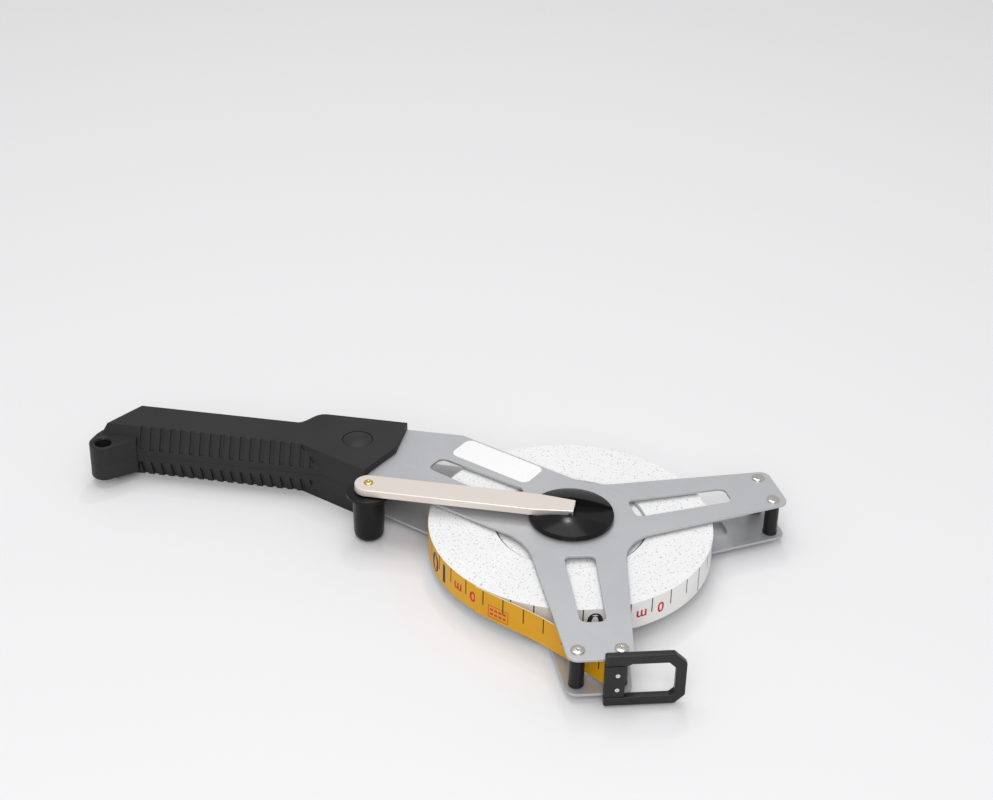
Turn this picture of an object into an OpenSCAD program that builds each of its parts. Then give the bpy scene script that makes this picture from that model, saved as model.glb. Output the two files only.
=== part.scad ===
// Open-frame surveyor's tape reel lying on its back, crank folded.
// Origin: drum axis at the resting plane. +Z up, handle towards -X.

/* [Tape] */
// Width of the tape
tape_w = 13; // [10:0.5:13.5]
// Outer radius of the wound tape
coil_r = 60.65; // [55:0.5:63]
// Inner radius of the wound tape
coil_core_r = 32.6; // [30:0.2:38]
// Thickness of the free tape
tape_t = 0.25; // [0.15:0.05:0.3]
// Clearance beside the moving tape
tape_clear = 0.3; // [0.3:0.05:0.5]

/* [Frame plates] */
// Thickness of one frame plate
plate_t = 1.2; // [1:0.1:1.6]
// Clear gap between the two plates
plate_gap = 15.8; // [15.4:0.1:18]
// Angle of each outer arm from +X
arm_ang = 50.2; // [47:0.5:54]
// Reach of an outer arm from the drum axis
arm_len = 94.6; // [92:0.5:100]
// Half width of an outer arm at its root
arm_root_w = 22.3; // [20:0.5:24]
// Narrowing of an outer arm per millimetre of reach
arm_taper = 0.1; // [0.06:0.01:0.12]
// Corner radius at an arm's end
arm_corner_r = 4.5; // [2:0.5:6]
// Half width of the handle arm
handle_arm_w = 25.5; // [23:0.5:27]
// Fillet radius between neighbouring arms
web_r = 25; // [15:1:30]
// Half width of a window in an arm
window_w = 6; // [4:0.5:7]
// Start of a window from the drum axis
window_in = 27.3; // [25:0.5:30]
// Distance from a window's end to the arm's end
window_end = 23.2; // [20:0.2:26]
// Corner radius of a window
window_r = 3; // [1:0.5:4]

/* [Arm posts and rivets] */
// Distance of the rivet pairs from the arm's end
rivet_inset = 5.8; // [5:0.1:7]
// Half spacing of a rivet pair
rivet_half = 8.6; // [7:0.2:9]
// Rivet shank radius
rivet_r = 1.5; // [1.2:0.1:1.8]
// Rivet head radius
rivet_head_r = 2.85; // [2.4:0.05:3.2]
// Rivet head height
rivet_head_h = 1.2; // [0.8:0.1:1.4]
// Height of the rivet head's straight side
rivet_side_h = 0.6; // [0.3:0.1:0.8]
// Radius of a post or guide roller
post_r = 3.15; // [2.6:0.05:3.6]
// Radial clearance of a turning fit
fit = 0.05; // [0.03:0.01:0.08]
// How far off the middle between the guide rollers the tape passes
gate_w = 0; // [0:0.2:1.6]

/* [Hub] */
// Radius of the spool boss in the top plate
boss_r = 12; // [11:0.5:13]
// Radius of the axle
axle_r = 5; // [4:0.25:6]
// Outer radius of the top bush
bush_r = 14.5; // [14:0.5:16]
// Spool flange radius under the tape
flange_r = 40; // [36:1:45]
// Spool flange thickness
flange_t = 1.2; // [1:0.1:1.4]
// Gap below the spool
spool_gap = 0.5; // [0.4:0.05:0.6]
// Radius of the rear hub cap
rear_r = 16; // [14:0.5:18]

/* [Turret and crank] */
// Turret radius
turret_r = 18.2; // [17:0.2:20]
// Gap between the top plate and the turret
turret_gap = 0.6; // [0.5:0.1:1]
// Height of the turret's straight side
turret_side_h = 2.2; // [2:0.1:2.6]
// Height of the turret's dome
turret_dome_h = 3.3; // [3:0.1:3.4]
// Depth of solid turret under the crank channel
turret_floor_h = 1.5; // [1.4:0.1:1.6]
// Direction of the folded crank and of the grip
crank_ang = 205.1; // [204:0.1:206]
// Distance from the drum axis to the knob
crank_reach = 87.8; // [86:0.2:90]
// Width of the crank arm
crank_w = 12.1; // [11.5:0.1:12.4]
// Width of the crank arm at its pivot
crank_neck_w = 7.6; // [7:0.1:8]
// Height of the crank arm's flanges
crank_h = 3.1; // [2.9:0.1:3.3]
// Sheet thickness of the crank arm
crank_t = 1; // [0.8:0.1:1.2]
// Height of the crank arm's top above the top plate
crank_top = 6.4; // [6.3:0.1:6.6]
// Crank pin radius
pin_r = 0.8; // [0.7:0.1:0.8]
// Arm length beyond the pivot
crank_tail = 1.2; // [1:0.1:1.4]

/* [Knob] */
// Knob body radius
knob_r = 7; // [6:0.1:7.4]
// Knob collar radius
knob_collar_r = 9.8; // [9:0.1:9.9]
// Knob collar thickness
knob_collar_t = 2; // [1.6:0.1:2.2]
// Gap from the floor to the knob
knob_floor = 0.7; // [0.5:0.1:2]
// Knob pin radius
knob_pin_r = 1.6; // [1.4:0.1:1.8]

/* [Handle] */
// Height of the handle
handle_h = 25.2; // [24.4:0.2:27]
// Offset of the grip's centre line from the drum axis
grip_off = -37; // [-38:0.2:-36.6]
// Half width of the grip's flat top
grip_top_w = 8.7; // [8:0.1:9.5]
// Half width of the grip at mid height
grip_mid_w = 13.2; // [12.6:0.1:13.4]
// Height of the grip's upright flank
grip_flank_h = 5.6; // [4:0.2:8]
// End of the grip along its direction
grip_end = 219; // [214:0.5:224]
// Wall thickness of the handle shells
handle_wall = 2.4; // [2:0.1:2.8]
// Lanyard eye radius
eye_r = 6.2; // [5.5:0.1:6.4]
// Lanyard bore radius
eye_bore_r = 3.5; // [2.5:0.1:3.6]
// Height of the lanyard eye
eye_h = 16.8; // [14:0.2:18]
// Radius of the bolt caps
cap_r = 6.7; // [6:0.1:7]
// Depth of the bolt cap seats
cap_t = 1.4; // [1.2:0.1:1.5]
// Handle bolt radius
bolt_r = 3; // [2.5:0.1:3.5]

/* [End ring] */
// Height of the end ring
ring_h = 24.4; // [22:0.2:25]
// Length of the end ring
ring_len = 32; // [28:0.5:35]
// Thickness of the end ring
ring_t = 3.2; // [2.8:0.1:3.6]
// Width of the ring's bars
ring_bar = 4.2; // [3.6:0.1:4.6]
// Width of the tape clamp
clamp_w = 8; // [7.6:0.1:8.6]

/* [Hidden] */
$fn = 96;
eps = 0.01;

// Levels
mid_z = handle_h / 2;
low_bot = mid_z - plate_gap / 2 - plate_t;
low_top = low_bot + plate_t;
top_bot = low_top + plate_gap;
top_top = top_bot + plate_t;
spool_bot = low_top + spool_gap;
coil_bot = spool_bot + flange_t;
coil_top = coil_bot + tape_w;
spool_top = coil_top + 0.4;
turret_bot = top_top + turret_gap;
turret_shoulder = turret_bot + turret_side_h;
turret_top = turret_shoulder + turret_dome_h;
channel_floor = turret_bot + turret_floor_h;
crank_z = top_top + crank_top;
rivet_reach = arm_len - rivet_inset;
window_out = arm_len - window_end;
pivot_z = crank_z - 1.9;
channel_w = crank_w / 2 + 0.5;
pin_reach = channel_w + 1.1;
axle_seat = spool_top - 2.3;
axle_washer_t = 0.8;
axle_nut_h = 2;
nut_pocket_r = 9;

// Tape path: tangent from the coil to the gate between the two rollers
gate_r = norm([rivet_reach, gate_w]);
run_r = coil_r + tape_clear;
lead_r = run_r + 0.2 + 0.1;
gate_ang = -arm_ang + atan(gate_w / rivet_reach);
lead_ang = gate_ang - acos((lead_r + tape_t / 2) / gate_r) + 90;
clamp_reach = arm_len + 0.6 + ring_t / 2;
lead_away = lead_r + tape_t / 2;
lead_len = (clamp_reach - 0.1 - lead_away * sin(lead_ang + arm_ang)) / cos(lead_ang + arm_ang);

// Free tape frame: along the tape from its tangent point, away from the drum axis
function lead_point(along, away) =
    [along * cos(lead_ang) + away * sin(lead_ang), along * sin(lead_ang) - away * cos(lead_ang)];
// Position across the lower right arm
function across_of(p) = p[0] * sin(arm_ang) + p[1] * cos(arm_ang);

// Grip frame: s along the grip, o across it
function grip_point(s, o) =
    [s * cos(crank_ang) - o * sin(crank_ang), s * sin(crank_ang) + o * cos(crank_ang)];

module at_grip(s, o) {
    rotate([0, 0, crank_ang])
        translate([s, o, 0])
            children();
}

module on_arm(side) {
    rotate([0, 0, side * arm_ang])
        children();
}

module rivet_spots(side) {
    on_arm(side)
        for (w = [-rivet_half, rivet_half])
            translate([rivet_reach, w, 0])
                children();
}

module tube(r_out, r_in, h) {
    difference() {
        cylinder(r = r_out, h = h);
        translate([0, 0, -eps])
            cylinder(r = r_in, h = h + 2 * eps);
    }
}

// ---- Frame plates ----

function arm_half(reach) = arm_root_w - arm_taper * reach;

// Outline along +X from x0 to x1 whose half width falls by k per millimetre, ends rounded by r0 and r1
module tapered_2d(x0, x1, half, k, r0, r1) {
    n = sqrt(1 + k * k);
    c0 = [x0 + r0, half - k * (x0 + r0) - r0 * n];
    c1 = [x1 - r1, half - k * (x1 - r1) - r1 * n];
    t0 = c0 + r0 * [k / n, 1 / n];
    t1 = c1 + r1 * [k / n, 1 / n];
    polygon([[x0, -c0[1]], [t0[0], -t0[1]], [t1[0], -t1[1]], [x1, -c1[1]], [x1, c1[1]], t1, t0,
        [x0, c0[1]]]);
    for (c = [[c0, r0], [c1, r1]])
        for (m = [-1, 1])
            if (c[1] > 0)
                translate([c[0][0], m * c[0][1]])
                    circle(r = c[1]);
}

module outer_arm_2d() {
    tapered_2d(0, arm_len, arm_root_w, arm_taper, 0, arm_corner_r);
}

// Fillet between two straight edges that meet at corner, heading along angles a and b
module web_fillet(corner, a, b, r) {
    half = abs(a - b) / 2;
    mid = (a + b) / 2;
    reach = r / tan(half);
    centre = corner + r / sin(half) * [cos(mid), sin(mid)];
    difference() {
        polygon([corner - 2 * [cos(mid), sin(mid)], corner + reach * [cos(b), sin(b)], centre,
            corner + reach * [cos(a), sin(a)]]);
        translate(centre)
            circle(r = r);
    }
}

taper_ang = atan(arm_taper);
inner_corner_x = arm_root_w / (sin(arm_ang) + arm_taper * cos(arm_ang));
outer_reach = (handle_arm_w - arm_root_w * cos(arm_ang)) / (sin(arm_ang) - arm_taper * cos(arm_ang));
outer_corner = [outer_reach * cos(arm_ang) - arm_half(outer_reach) * sin(arm_ang), handle_arm_w];

module window_2d() {
    tapered_2d(window_in, window_out, window_w, 0, window_r, window_r);
}

// Tongue of the plates inside the handle
tongue_in = -86;
tongue_edge = -51.8;
tongue_end = 118;
handle_arm_back = 74;
module tongue_2d() {
    polygon([[tongue_in, -handle_arm_w + 1.3], grip_point(82.5, -54.4), grip_point(84, tongue_edge),
        grip_point(tongue_end, tongue_edge), grip_point(tongue_end, -40), [-112, -handle_arm_w + 1.3]]);
}

// Plate outline between the hub and the tongue
module root_2d() {
    polygon([[0, handle_arm_w], [-handle_arm_back, handle_arm_w], grip_point(82.5, -54.4),
        [tongue_in - 2, -20], [tongue_in - 2, -handle_arm_w], [0, -handle_arm_w]]);
}

bolt_at = grip_point(101, grip_off);
dowels = [[-100.5, 2], [-97, -18]];

module plate_2d() {
    difference() {
        union() {
            for (side = [-1, 1]) {
                on_arm(side)
                    outer_arm_2d();
                mirror([0, side < 0 ? 1 : 0])
                    web_fillet(outer_corner, 180, arm_ang - taper_ang, web_r);
            }
            web_fillet([inner_corner_x, 0], arm_ang + taper_ang, -arm_ang - taper_ang, web_r);
            circle(r = bush_r + 8);
            root_2d();
            tongue_2d();
        }
        for (side = [-1, 1])
            on_arm(side)
                window_2d();
        rotate(180)
            window_2d();
        translate(bolt_at)
            circle(r = bolt_r + 0.1);
        for (d = dowels)
            translate(d)
                circle(r = 1.5);
        for (side = [-1, 1])
            rivet_spots(side)
                circle(r = rivet_r);
    }
}

module top_plate() {
    color("silver")
        translate([0, 0, top_bot])
            linear_extrude(plate_t)
                difference() {
                    plate_2d();
                    circle(r = bush_r);
                }
}

module lower_plate() {
    color("silver")
        translate([0, 0, low_bot])
            linear_extrude(plate_t)
                difference() {
                    plate_2d();
                    circle(r = axle_r);
                }
}

module rivet_profile() {
    rotate_extrude()
        intersection() {
            union() {
                translate([0, low_bot - rivet_head_h])
                    square([rivet_r, top_top - low_bot + 2 * rivet_head_h]);
                translate([0, top_top])
                    square([rivet_head_r, rivet_head_h]);
                translate([0, low_bot - rivet_head_h])
                    square([rivet_head_r, rivet_head_h]);
            }
            translate([0, mid_z])
                circle(r = norm([rivet_head_r, top_top - mid_z + rivet_side_h]));
        }
}

module frame_rivets() {
    color("gainsboro")
        for (side = [-1, 1])
            rivet_spots(side)
                rivet_profile();
}

module arm_spacers() {
    color("black")
        rivet_spots(1)
            translate([0, 0, low_top])
                tube(post_r, rivet_r, plate_gap);
}

module guide_roller(w) {
    color("black")
        on_arm(-1)
            translate([rivet_reach, w, low_top + 0.3])
                tube(post_r, rivet_r + fit, plate_gap - 0.6);
}

module roller_left() {
    guide_roller(-rivet_half);
}

module roller_right() {
    guide_roller(rivet_half);
}

// ---- Hub ----

module axle() {
    color("silver") {
        translate([0, 0, low_bot - 1.8])
            cylinder(r = 7.5, h = 1.8);
        translate([0, 0, low_bot - eps])
            cylinder(r = axle_r, h = axle_seat + axle_washer_t + axle_nut_h + 0.4 - low_bot);
    }
}

module axle_washer() {
    color("silver")
        translate([0, 0, axle_seat + 0.05])
            tube(8.4, axle_r, axle_washer_t);
}

module axle_nut() {
    color("silver")
        translate([0, 0, axle_seat + 0.05 + axle_washer_t])
            difference() {
                cylinder(r = 7.5, h = axle_nut_h, $fn = 6);
                translate([0, 0, -eps])
                    cylinder(r = axle_r, h = axle_nut_h + 1);
            }
}

module thrust_washer() {
    color("goldenrod")
        translate([0, 0, low_top])
            tube(11, axle_r, spool_gap - 0.05);
}

module top_bush() {
    color("white")
        translate([0, 0, top_bot])
            difference() {
                union() {
                    cylinder(r = bush_r, h = plate_t);
                    translate([0, 0, plate_t])
                        cylinder(r = bush_r + 1.5, h = turret_gap - 0.2);
                }
                translate([0, 0, -1])
                    cylinder(r = boss_r + fit, h = 4);
            }
}

module rear_cap() {
    color("black")
        difference() {
            union() {
                cylinder(r1 = rear_r - 1, r2 = rear_r, h = 1);
                translate([0, 0, 1])
                    cylinder(r = rear_r, h = low_bot - 1);
            }
            translate([0, 0, low_bot - 1.8])
                cylinder(r = 7.5, h = 3);
            translate([0, 0, 1.2])
                tube(rear_r - 2, 9.5, low_bot);
        }
}

anchor_ang = 122;
anchor_box = [2.4, 9, 8];
anchor_inset = 0.45;

module spool() {
    color("white")
        difference() {
            union() {
                translate([0, 0, spool_bot])
                    cylinder(r = flange_r, h = flange_t);
                translate([0, 0, coil_bot - eps])
                    cylinder(r = coil_core_r - 0.02, h = tape_w - 3);
                translate([0, 0, coil_bot])
                    cylinder(r = coil_core_r - 1.4, h = spool_top - coil_bot);
                translate([0, 0, spool_top - eps])
                    cylinder(r = boss_r, h = turret_bot - spool_top);
            }
            translate([0, 0, spool_bot - 1])
                cylinder(r = axle_r + fit, h = 30);
            translate([0, 0, axle_seat])
                cylinder(r = nut_pocket_r, h = 10);
            // Lightening pocket seen through the frame from below
            translate([0, 0, spool_bot - eps])
                tube(28, 14.5, 8);
            rotate([0, 0, anchor_ang])
                translate([coil_core_r - anchor_box[0] / 2 - anchor_inset / 2, 0, coil_bot + 5])
                    cube([anchor_box[0] + anchor_inset + 0.1, anchor_box[1], anchor_box[2]], center = true);
            turret_screw_spots() {
                translate([0, 0, spool_bot - eps])
                    cylinder(r = 2.4, h = 6 + 2 * eps);
                cylinder(r = 1.2, h = 40);
            }
        }
}

module turret_screw_spots() {
    rotate([0, 0, crank_ang])
        for (o = [-1, 1])
            translate([0, o * 10.5, 0])
                children();
}

module turret_screws() {
    color("silver")
        turret_screw_spots() {
            translate([0, 0, spool_bot + 4])
                cylinder(r = 2.2, h = 2);
            translate([0, 0, spool_bot + 5])
                cylinder(r = 1.2, h = channel_floor + 1.4 - spool_bot - 5);
        }
}

module tape_anchor() {
    color("silver")
        rotate([0, 0, anchor_ang])
            translate([coil_core_r - anchor_box[0] / 2 - anchor_inset, 0, coil_bot + 5])
                cube([anchor_box[0], anchor_box[1] - 0.1, anchor_box[2] - 0.1], center = true);
}

module tape_coil() {
    color("ivory")
        translate([0, 0, coil_bot])
            tube(coil_r, coil_core_r, tape_w);
}

dome_r = (turret_r * turret_r + turret_dome_h * turret_dome_h) / (2 * turret_dome_h);

module turret() {
    color("black")
        difference() {
            union() {
                translate([0, 0, turret_bot])
                    cylinder(r = turret_r, h = turret_side_h);
                intersection() {
                    translate([0, 0, turret_shoulder - 1])
                        cylinder(r = turret_r, h = turret_dome_h + 2);
                    translate([0, 0, turret_top - dome_r])
                        sphere(r = dome_r, $fn = 200);
                }
            }
            rotate([0, 0, crank_ang])
                translate([-turret_r - 1, -channel_w, channel_floor])
                    cube([2 * turret_r + 2, 2 * channel_w, 10]);
            rotate([0, 0, crank_ang])
                translate([0, 0, pivot_z])
                    rotate([90, 0, 0])
                        cylinder(r = pin_r, h = 2 * pin_reach + 0.1, center = true);
            turret_screw_spots()
                cylinder(r = 1.2, h = channel_floor + 1.5);
        }
}

module crank_pin() {
    color("silver")
        rotate([0, 0, crank_ang])
            translate([0, 0, pivot_z])
                rotate([90, 0, 0])
                    cylinder(r = pin_r, h = 2 * pin_reach, center = true);
}

// ---- Crank ----

module crank_outline(inset) {
    half = crank_w / 2 - inset;
    neck = crank_neck_w / 2 - inset;
    shoulder = turret_r - 3;
    polygon([[-crank_tail - 1 + inset, -neck], [shoulder, -half], [crank_reach, -half],
        [crank_reach, half], [shoulder, half], [-crank_tail - 1 + inset, neck]]);
    translate([crank_reach, 0])
        circle(r = half);
}

module crank_arm() {
    color("linen")
        rotate([0, 0, crank_ang])
            difference() {
                translate([0, 0, crank_z - crank_h])
                    intersection() {
                        linear_extrude(crank_h)
                            crank_outline(0);
                        translate([-crank_tail, -20, -1])
                            cube([200, 40, 10]);
                    }
                translate([0, 0, crank_z - crank_h - eps])
                    linear_extrude(crank_h - crank_t)
                        crank_outline(crank_t);
                translate([-10, -crank_neck_w / 2 + crank_t, crank_z - crank_h - eps])
                    cube([12, crank_neck_w - 2 * crank_t, crank_h - crank_t]);
                translate([0, 0, pivot_z])
                    rotate([90, 0, 0])
                        cylinder(r = pin_r + fit, h = 30, center = true);
                translate([crank_reach, 0, crank_z - 5])
                    cylinder(r = knob_pin_r, h = 10);
            }
}

knob_top = crank_z - crank_t - 0.15;
collar_top = crank_z - crank_h - 0.7;
plug_h = 1.6;
pin_foot = knob_floor + plug_h + 1.2;

module knob_pin() {
    color("gold")
        at_grip(crank_reach, 0) {
            translate([0, 0, pin_foot])
                cylinder(r = knob_pin_r, h = crank_z + 0.4 - pin_foot);
            translate([0, 0, crank_z])
                cylinder(r1 = 2.1, r2 = 1.7, h = 0.7);
        }
}

module knob_pin_washer() {
    color("silver")
        at_grip(crank_reach, 0)
            translate([0, 0, pin_foot])
                tube(3, knob_pin_r, 1);
}

module knob() {
    color("black")
        at_grip(crank_reach, 0)
            difference() {
                rotate_extrude()
                    polygon([[0, knob_floor], [knob_r - 2.2, knob_floor], [knob_r - 1.2, knob_floor + 0.5],
                        [knob_r - 0.5, knob_floor + 2], [knob_r, collar_top - knob_collar_t],
                        [knob_collar_r - 0.6, collar_top - knob_collar_t],
                        [knob_collar_r, collar_top - knob_collar_t / 2], [knob_collar_r - 0.6, collar_top],
                        [4.4, collar_top], [4.4, knob_top], [0, knob_top]]);
                cylinder(r = knob_pin_r + fit, h = 40);
                translate([0, 0, -eps])
                    cylinder(r = 3.6, h = pin_foot + 1.1);
            }
}

module knob_plug() {
    color("black")
        at_grip(crank_reach, 0)
            translate([0, 0, knob_floor])
                cylinder(r = 3.6, h = plug_h);
}

// ---- Handle ----

head_end_x = -89.5;
head_front_y = -27.2;
head_back = -55;

module head_2d(inset) {
    polygon([[-126, head_front_y + inset], [head_end_x - inset, head_front_y + inset],
        [head_end_x - inset, -4.4], grip_point(82 + inset, head_back + inset),
        grip_point(shoulder_out[0] - inset / 2, head_back + inset),
        grip_point(shoulder_in[0] + inset, shoulder_in[1] + inset)]);
}

// Head with its rounded shoulder into the grip
shoulder_out = [122.4, head_back];
shoulder_in = [129.2, grip_off - grip_top_w + 0.4];
shoulder_r = 7;
shoulder_ang = atan2(shoulder_in[1] - shoulder_out[1], shoulder_in[0] - shoulder_out[0]);
module head_plan_2d() {
    difference() {
        head_2d(0);
        web_fillet(grip_point(shoulder_out[0], shoulder_out[1]), crank_ang + 180, crank_ang + shoulder_ang,
            shoulder_r);
    }
    web_fillet(grip_point(shoulder_in[0], shoulder_in[1]), crank_ang, crank_ang + shoulder_ang - 180,
        shoulder_r);
}

flank_drop = (handle_h - grip_flank_h) / 2;
module grip_section_2d() {
    high = handle_h - flank_drop;
    polygon([[-grip_top_w, 0], [grip_top_w, 0], [grip_mid_w, flank_drop], [grip_mid_w, high],
        [grip_top_w, handle_h], [-grip_top_w, handle_h], [-grip_mid_w, high], [-grip_mid_w, flank_drop]]);
}

module grip_body() {
    intersection() {
        rotate([0, 0, crank_ang])
            translate([100, grip_off, 0])
                rotate([90, 0, 90])
                    linear_extrude(grip_end)
                        grip_section_2d();
        // Sloping butt, slanted in plan
        at_grip(grip_end - 8.3, grip_off)
            rotate([0, 0, -butt_slant])
                translate([0, 60, 0])
                    rotate([90, 0, 0])
                        linear_extrude(120)
                            grip_end_2d();
    }
}

butt_slant = 31.6;
butt_lean = 1.5;
butt_drop = flank_drop - 1;
module grip_end_2d() {
    polygon([[-grip_end, 0], [-butt_lean, 0], [0, butt_drop], [0, handle_h - butt_drop],
        [-butt_lean, handle_h], [-grip_end, handle_h]]);
}

eye_s = grip_end - 5.7;
eye_o = -19.2;

module eye_body() {
    translate([0, 0, mid_z - eye_h / 2]) {
        at_grip(eye_s, eye_o)
            cylinder(r = eye_r, h = eye_h);
        rotate([0, 0, crank_ang])
            linear_extrude(eye_h)
                polygon([[eye_s - 13.8, eye_o - 4], [eye_s - 13.3, eye_o - 11], [eye_s - 6.3, eye_o - 17],
                    [eye_s + 3.6, eye_o - 9.4], [eye_s + 5.1, eye_o - 5.7], [eye_s + eye_r - 0.1, eye_o - 1.2],
                    [eye_s - 4.4, eye_o + 4]]);
    }
}

module handle_solid() {
    union() {
        difference() {
            grip_body();
            finger_grooves();
        }
        linear_extrude(handle_h)
            head_plan_2d();
        eye_body();
    }
}

screw_spots = [132, 164, 196];
core_inset = 2.6;
rib_pitch = 4.6;
rib_first = 110;
rib_count = 20;

// Finger grooves across the grip's front flanks
module finger_grooves() {
    lean = grip_mid_w - grip_top_w;
    for (m = [0, 1])
        translate([0, 0, m * handle_h])
            mirror([0, 0, m])
                for (i = [0:rib_count - 1])
                    at_grip(rib_first + i * rib_pitch, grip_off + grip_top_w)
                        translate([0, 0, handle_h])
                            rotate([-atan2(flank_drop, lean), 0, 0])
                                translate([-1, -1, -0.8])
                                    cube([2, norm([flank_drop, lean]) + 0.6, 3]);
}

module grip_cavity() {
    difference() {
        rotate([0, 0, crank_ang])
            translate([125, grip_off - 8, handle_wall])
                cube([76, 16, handle_h - 2 * handle_wall]);
        for (s = screw_spots)
            at_grip(s, grip_off)
                cylinder(r = 4, h = handle_h);
    }
}

module handle_cuts() {
    grip_cavity();
    translate([0, 0, low_top])
        linear_extrude(plate_gap)
            core_2d();
    for (z = [low_bot, top_bot])
        translate([0, 0, z])
            linear_extrude(plate_t) {
                tongue_2d();
                root_2d();
            }
    translate([bolt_at[0], bolt_at[1], -1])
        cylinder(r = bolt_r + 0.2, h = handle_h + 2);
    for (z = [-1, top_top])
        translate([bolt_at[0], bolt_at[1], z])
            cylinder(r = 6, h = low_bot + 1);
    for (z = [-1, handle_h - cap_t])
        translate([bolt_at[0], bolt_at[1], z])
            cylinder(r = cap_r + 0.1, h = cap_t + 1);
    at_grip(eye_s, eye_o) {
        cylinder(r = eye_bore_r, h = handle_h);
        for (m = [0, 1])
            translate([0, 0, mid_z])
                mirror([0, 0, m])
                    translate([0, 0, eye_h / 2 - 1])
                        cylinder(r1 = eye_bore_r - 0.1, r2 = eye_bore_r + 1, h = 1.1);
    }
    for (s = screw_spots)
        at_grip(s, grip_off) {
            translate([0, 0, -1])
                cylinder(r = 1.5, h = handle_h - 3);
            translate([0, 0, -1])
                cylinder(r = 3.2, h = 5);
        }
}

module core_2d() {
    intersection() {
        head_2d(core_inset);
        polygon([[tongue_in, -handle_arm_w - 5], [tongue_in, handle_arm_w + 5],
            grip_point(tongue_end, head_back - 5), grip_point(tongue_end, -20)]);
    }
}

// Half of the handle's height, from the drum axis to beyond the grip
module half_box(z) {
    reach = 1.2 * grip_end;
    translate([-reach, -reach, z])
        cube([reach, 2 * reach, mid_z]);
}

module handle_upper() {
    color("dimgray")
        difference() {
            intersection() {
                handle_solid();
                half_box(mid_z);
            }
            handle_cuts();
        }
}

module handle_lower() {
    color("dimgray")
        difference() {
            intersection() {
                handle_solid();
                half_box(0);
            }
            handle_cuts();
        }
}

module handle_core() {
    color("black")
        translate([0, 0, low_top])
            linear_extrude(plate_gap)
                difference() {
                    core_2d();
                    translate(bolt_at)
                        circle(r = bolt_r + 0.1);
                    for (d = dowels)
                        translate(d)
                            circle(r = 1.5);
                }
}

bolt_head_h = handle_h - cap_t - top_top - 0.3;
nut_h = low_bot - cap_t - 0.2;
module handle_bolt() {
    color("silver")
        translate([bolt_at[0], bolt_at[1], 0]) {
            translate([0, 0, low_bot - nut_h])
                cylinder(r = bolt_r, h = top_top - low_bot + nut_h + 0.1);
            translate([0, 0, top_top])
                cylinder(r = 5.2, h = bolt_head_h);
        }
}

module handle_nut() {
    color("silver")
        translate([bolt_at[0], bolt_at[1], low_bot - nut_h])
            difference() {
                cylinder(r = 5.6, h = nut_h, $fn = 6);
                translate([0, 0, -1])
                    cylinder(r = bolt_r, h = nut_h + 2);
            }
}

module dowel_pins() {
    color("silver")
        for (d = dowels)
            translate([d[0], d[1], low_bot])
                cylinder(r = 1.5, h = top_top - low_bot);
}

module handle_screws() {
    color("silver")
        for (s = screw_spots)
            at_grip(s, grip_off) {
                translate([0, 0, 2])
                    cylinder(r = 3, h = 2);
                translate([0, 0, 3])
                    cylinder(r = 1.5, h = handle_h - 8);
            }
}

cap_crown = cap_t + 1;
cap_dome_r = 19;
module bolt_cap_upper() {
    color("dimgray")
        translate([bolt_at[0], bolt_at[1], handle_h - cap_t])
            intersection() {
                cylinder(r = cap_r, h = cap_crown);
                translate([0, 0, cap_crown - cap_dome_r])
                    sphere(r = cap_dome_r, $fn = 160);
            }
}

module bolt_cap_lower() {
    color("dimgray")
        translate([bolt_at[0], bolt_at[1], 0.1])
            cylinder(r = cap_r, h = cap_t - 0.1);
}

// ---- Label ----

label_t = 0.15;
label_at = [-70, 17.1];
label_len = 40.5;
label_half_w = 7.4;
label_corner_r = 3.5;

module label() {
    color("white")
        translate([label_at[0], label_at[1], top_top])
            linear_extrude(label_t)
                tapered_2d(0, label_len, label_half_w, 0, label_corner_r, label_corner_r);
}

// ---- Free tape ----

module tape_run() {
    color("gold")
        rotate([0, 0, lead_ang])
            translate([0, -run_r - 0.2, coil_bot])
                cube([lead_len - 14, 0.2, tape_w]);
}

hinge_across = across_of(lead_point(lead_len, lead_away)) - clamp_w + 3;

module tape_lead() {
    color("gold")
        rotate([0, 0, lead_ang])
            translate([0, -lead_r - tape_t, coil_bot])
                cube([lead_len, tape_t, tape_w]);
}

module at_hinge() {
    on_arm(-1)
        translate([clamp_reach, hinge_across, 0])
            children();
}

ring_z = mid_z + 0.8;
ring_bot = ring_z - ring_h / 2;
clamp_h = tape_w + 2;
knuckle_gap = 0.3;
ring_pin_r = 0.9;

module tape_clamp() {
    color("black")
        difference() {
            at_hinge()
                translate([-ring_t / 2, -ring_t / 2, coil_bot - 1])
                    cube([ring_t, clamp_w, clamp_h]);
            at_hinge()
                cylinder(r = ring_pin_r, h = 40);
            rotate([0, 0, lead_ang])
                translate([0, -lead_r - tape_t - 0.05, coil_bot - 0.05])
                    cube([lead_len + 0.05, tape_t + 0.1, tape_w + 0.1]);
            clamp_rivet_spots()
                cylinder(r = 0.9, h = 2);
        }
}

module clamp_rivet_spots() {
    at_hinge()
        for (z = [coil_bot + 3, coil_top - 3])
            translate([ring_t / 2 - 0.6, clamp_w - ring_t / 2 - 3, z])
                rotate([0, 90, 0])
                    children();
}

module clamp_rivets() {
    color("silver")
        clamp_rivet_spots()
            cylinder(r = 0.9, h = 1);
}

module ring_2d() {
    near = clamp_w - ring_t / 2 + 0.8;
    far = ring_len - ring_t / 2;
    difference() {
        polygon([[0, 0], [far - 4, 0], [far, 4], [far, ring_h - 5], [far - 5, ring_h], [0, ring_h]]);
        polygon([[near, ring_bar], [far - ring_bar - 2, ring_bar], [far - ring_bar, ring_bar + 2],
            [far - ring_bar, ring_h - ring_bar - 3], [far - ring_bar - 3, ring_h - ring_bar],
            [near, ring_h - ring_bar]]);
    }
}

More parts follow.
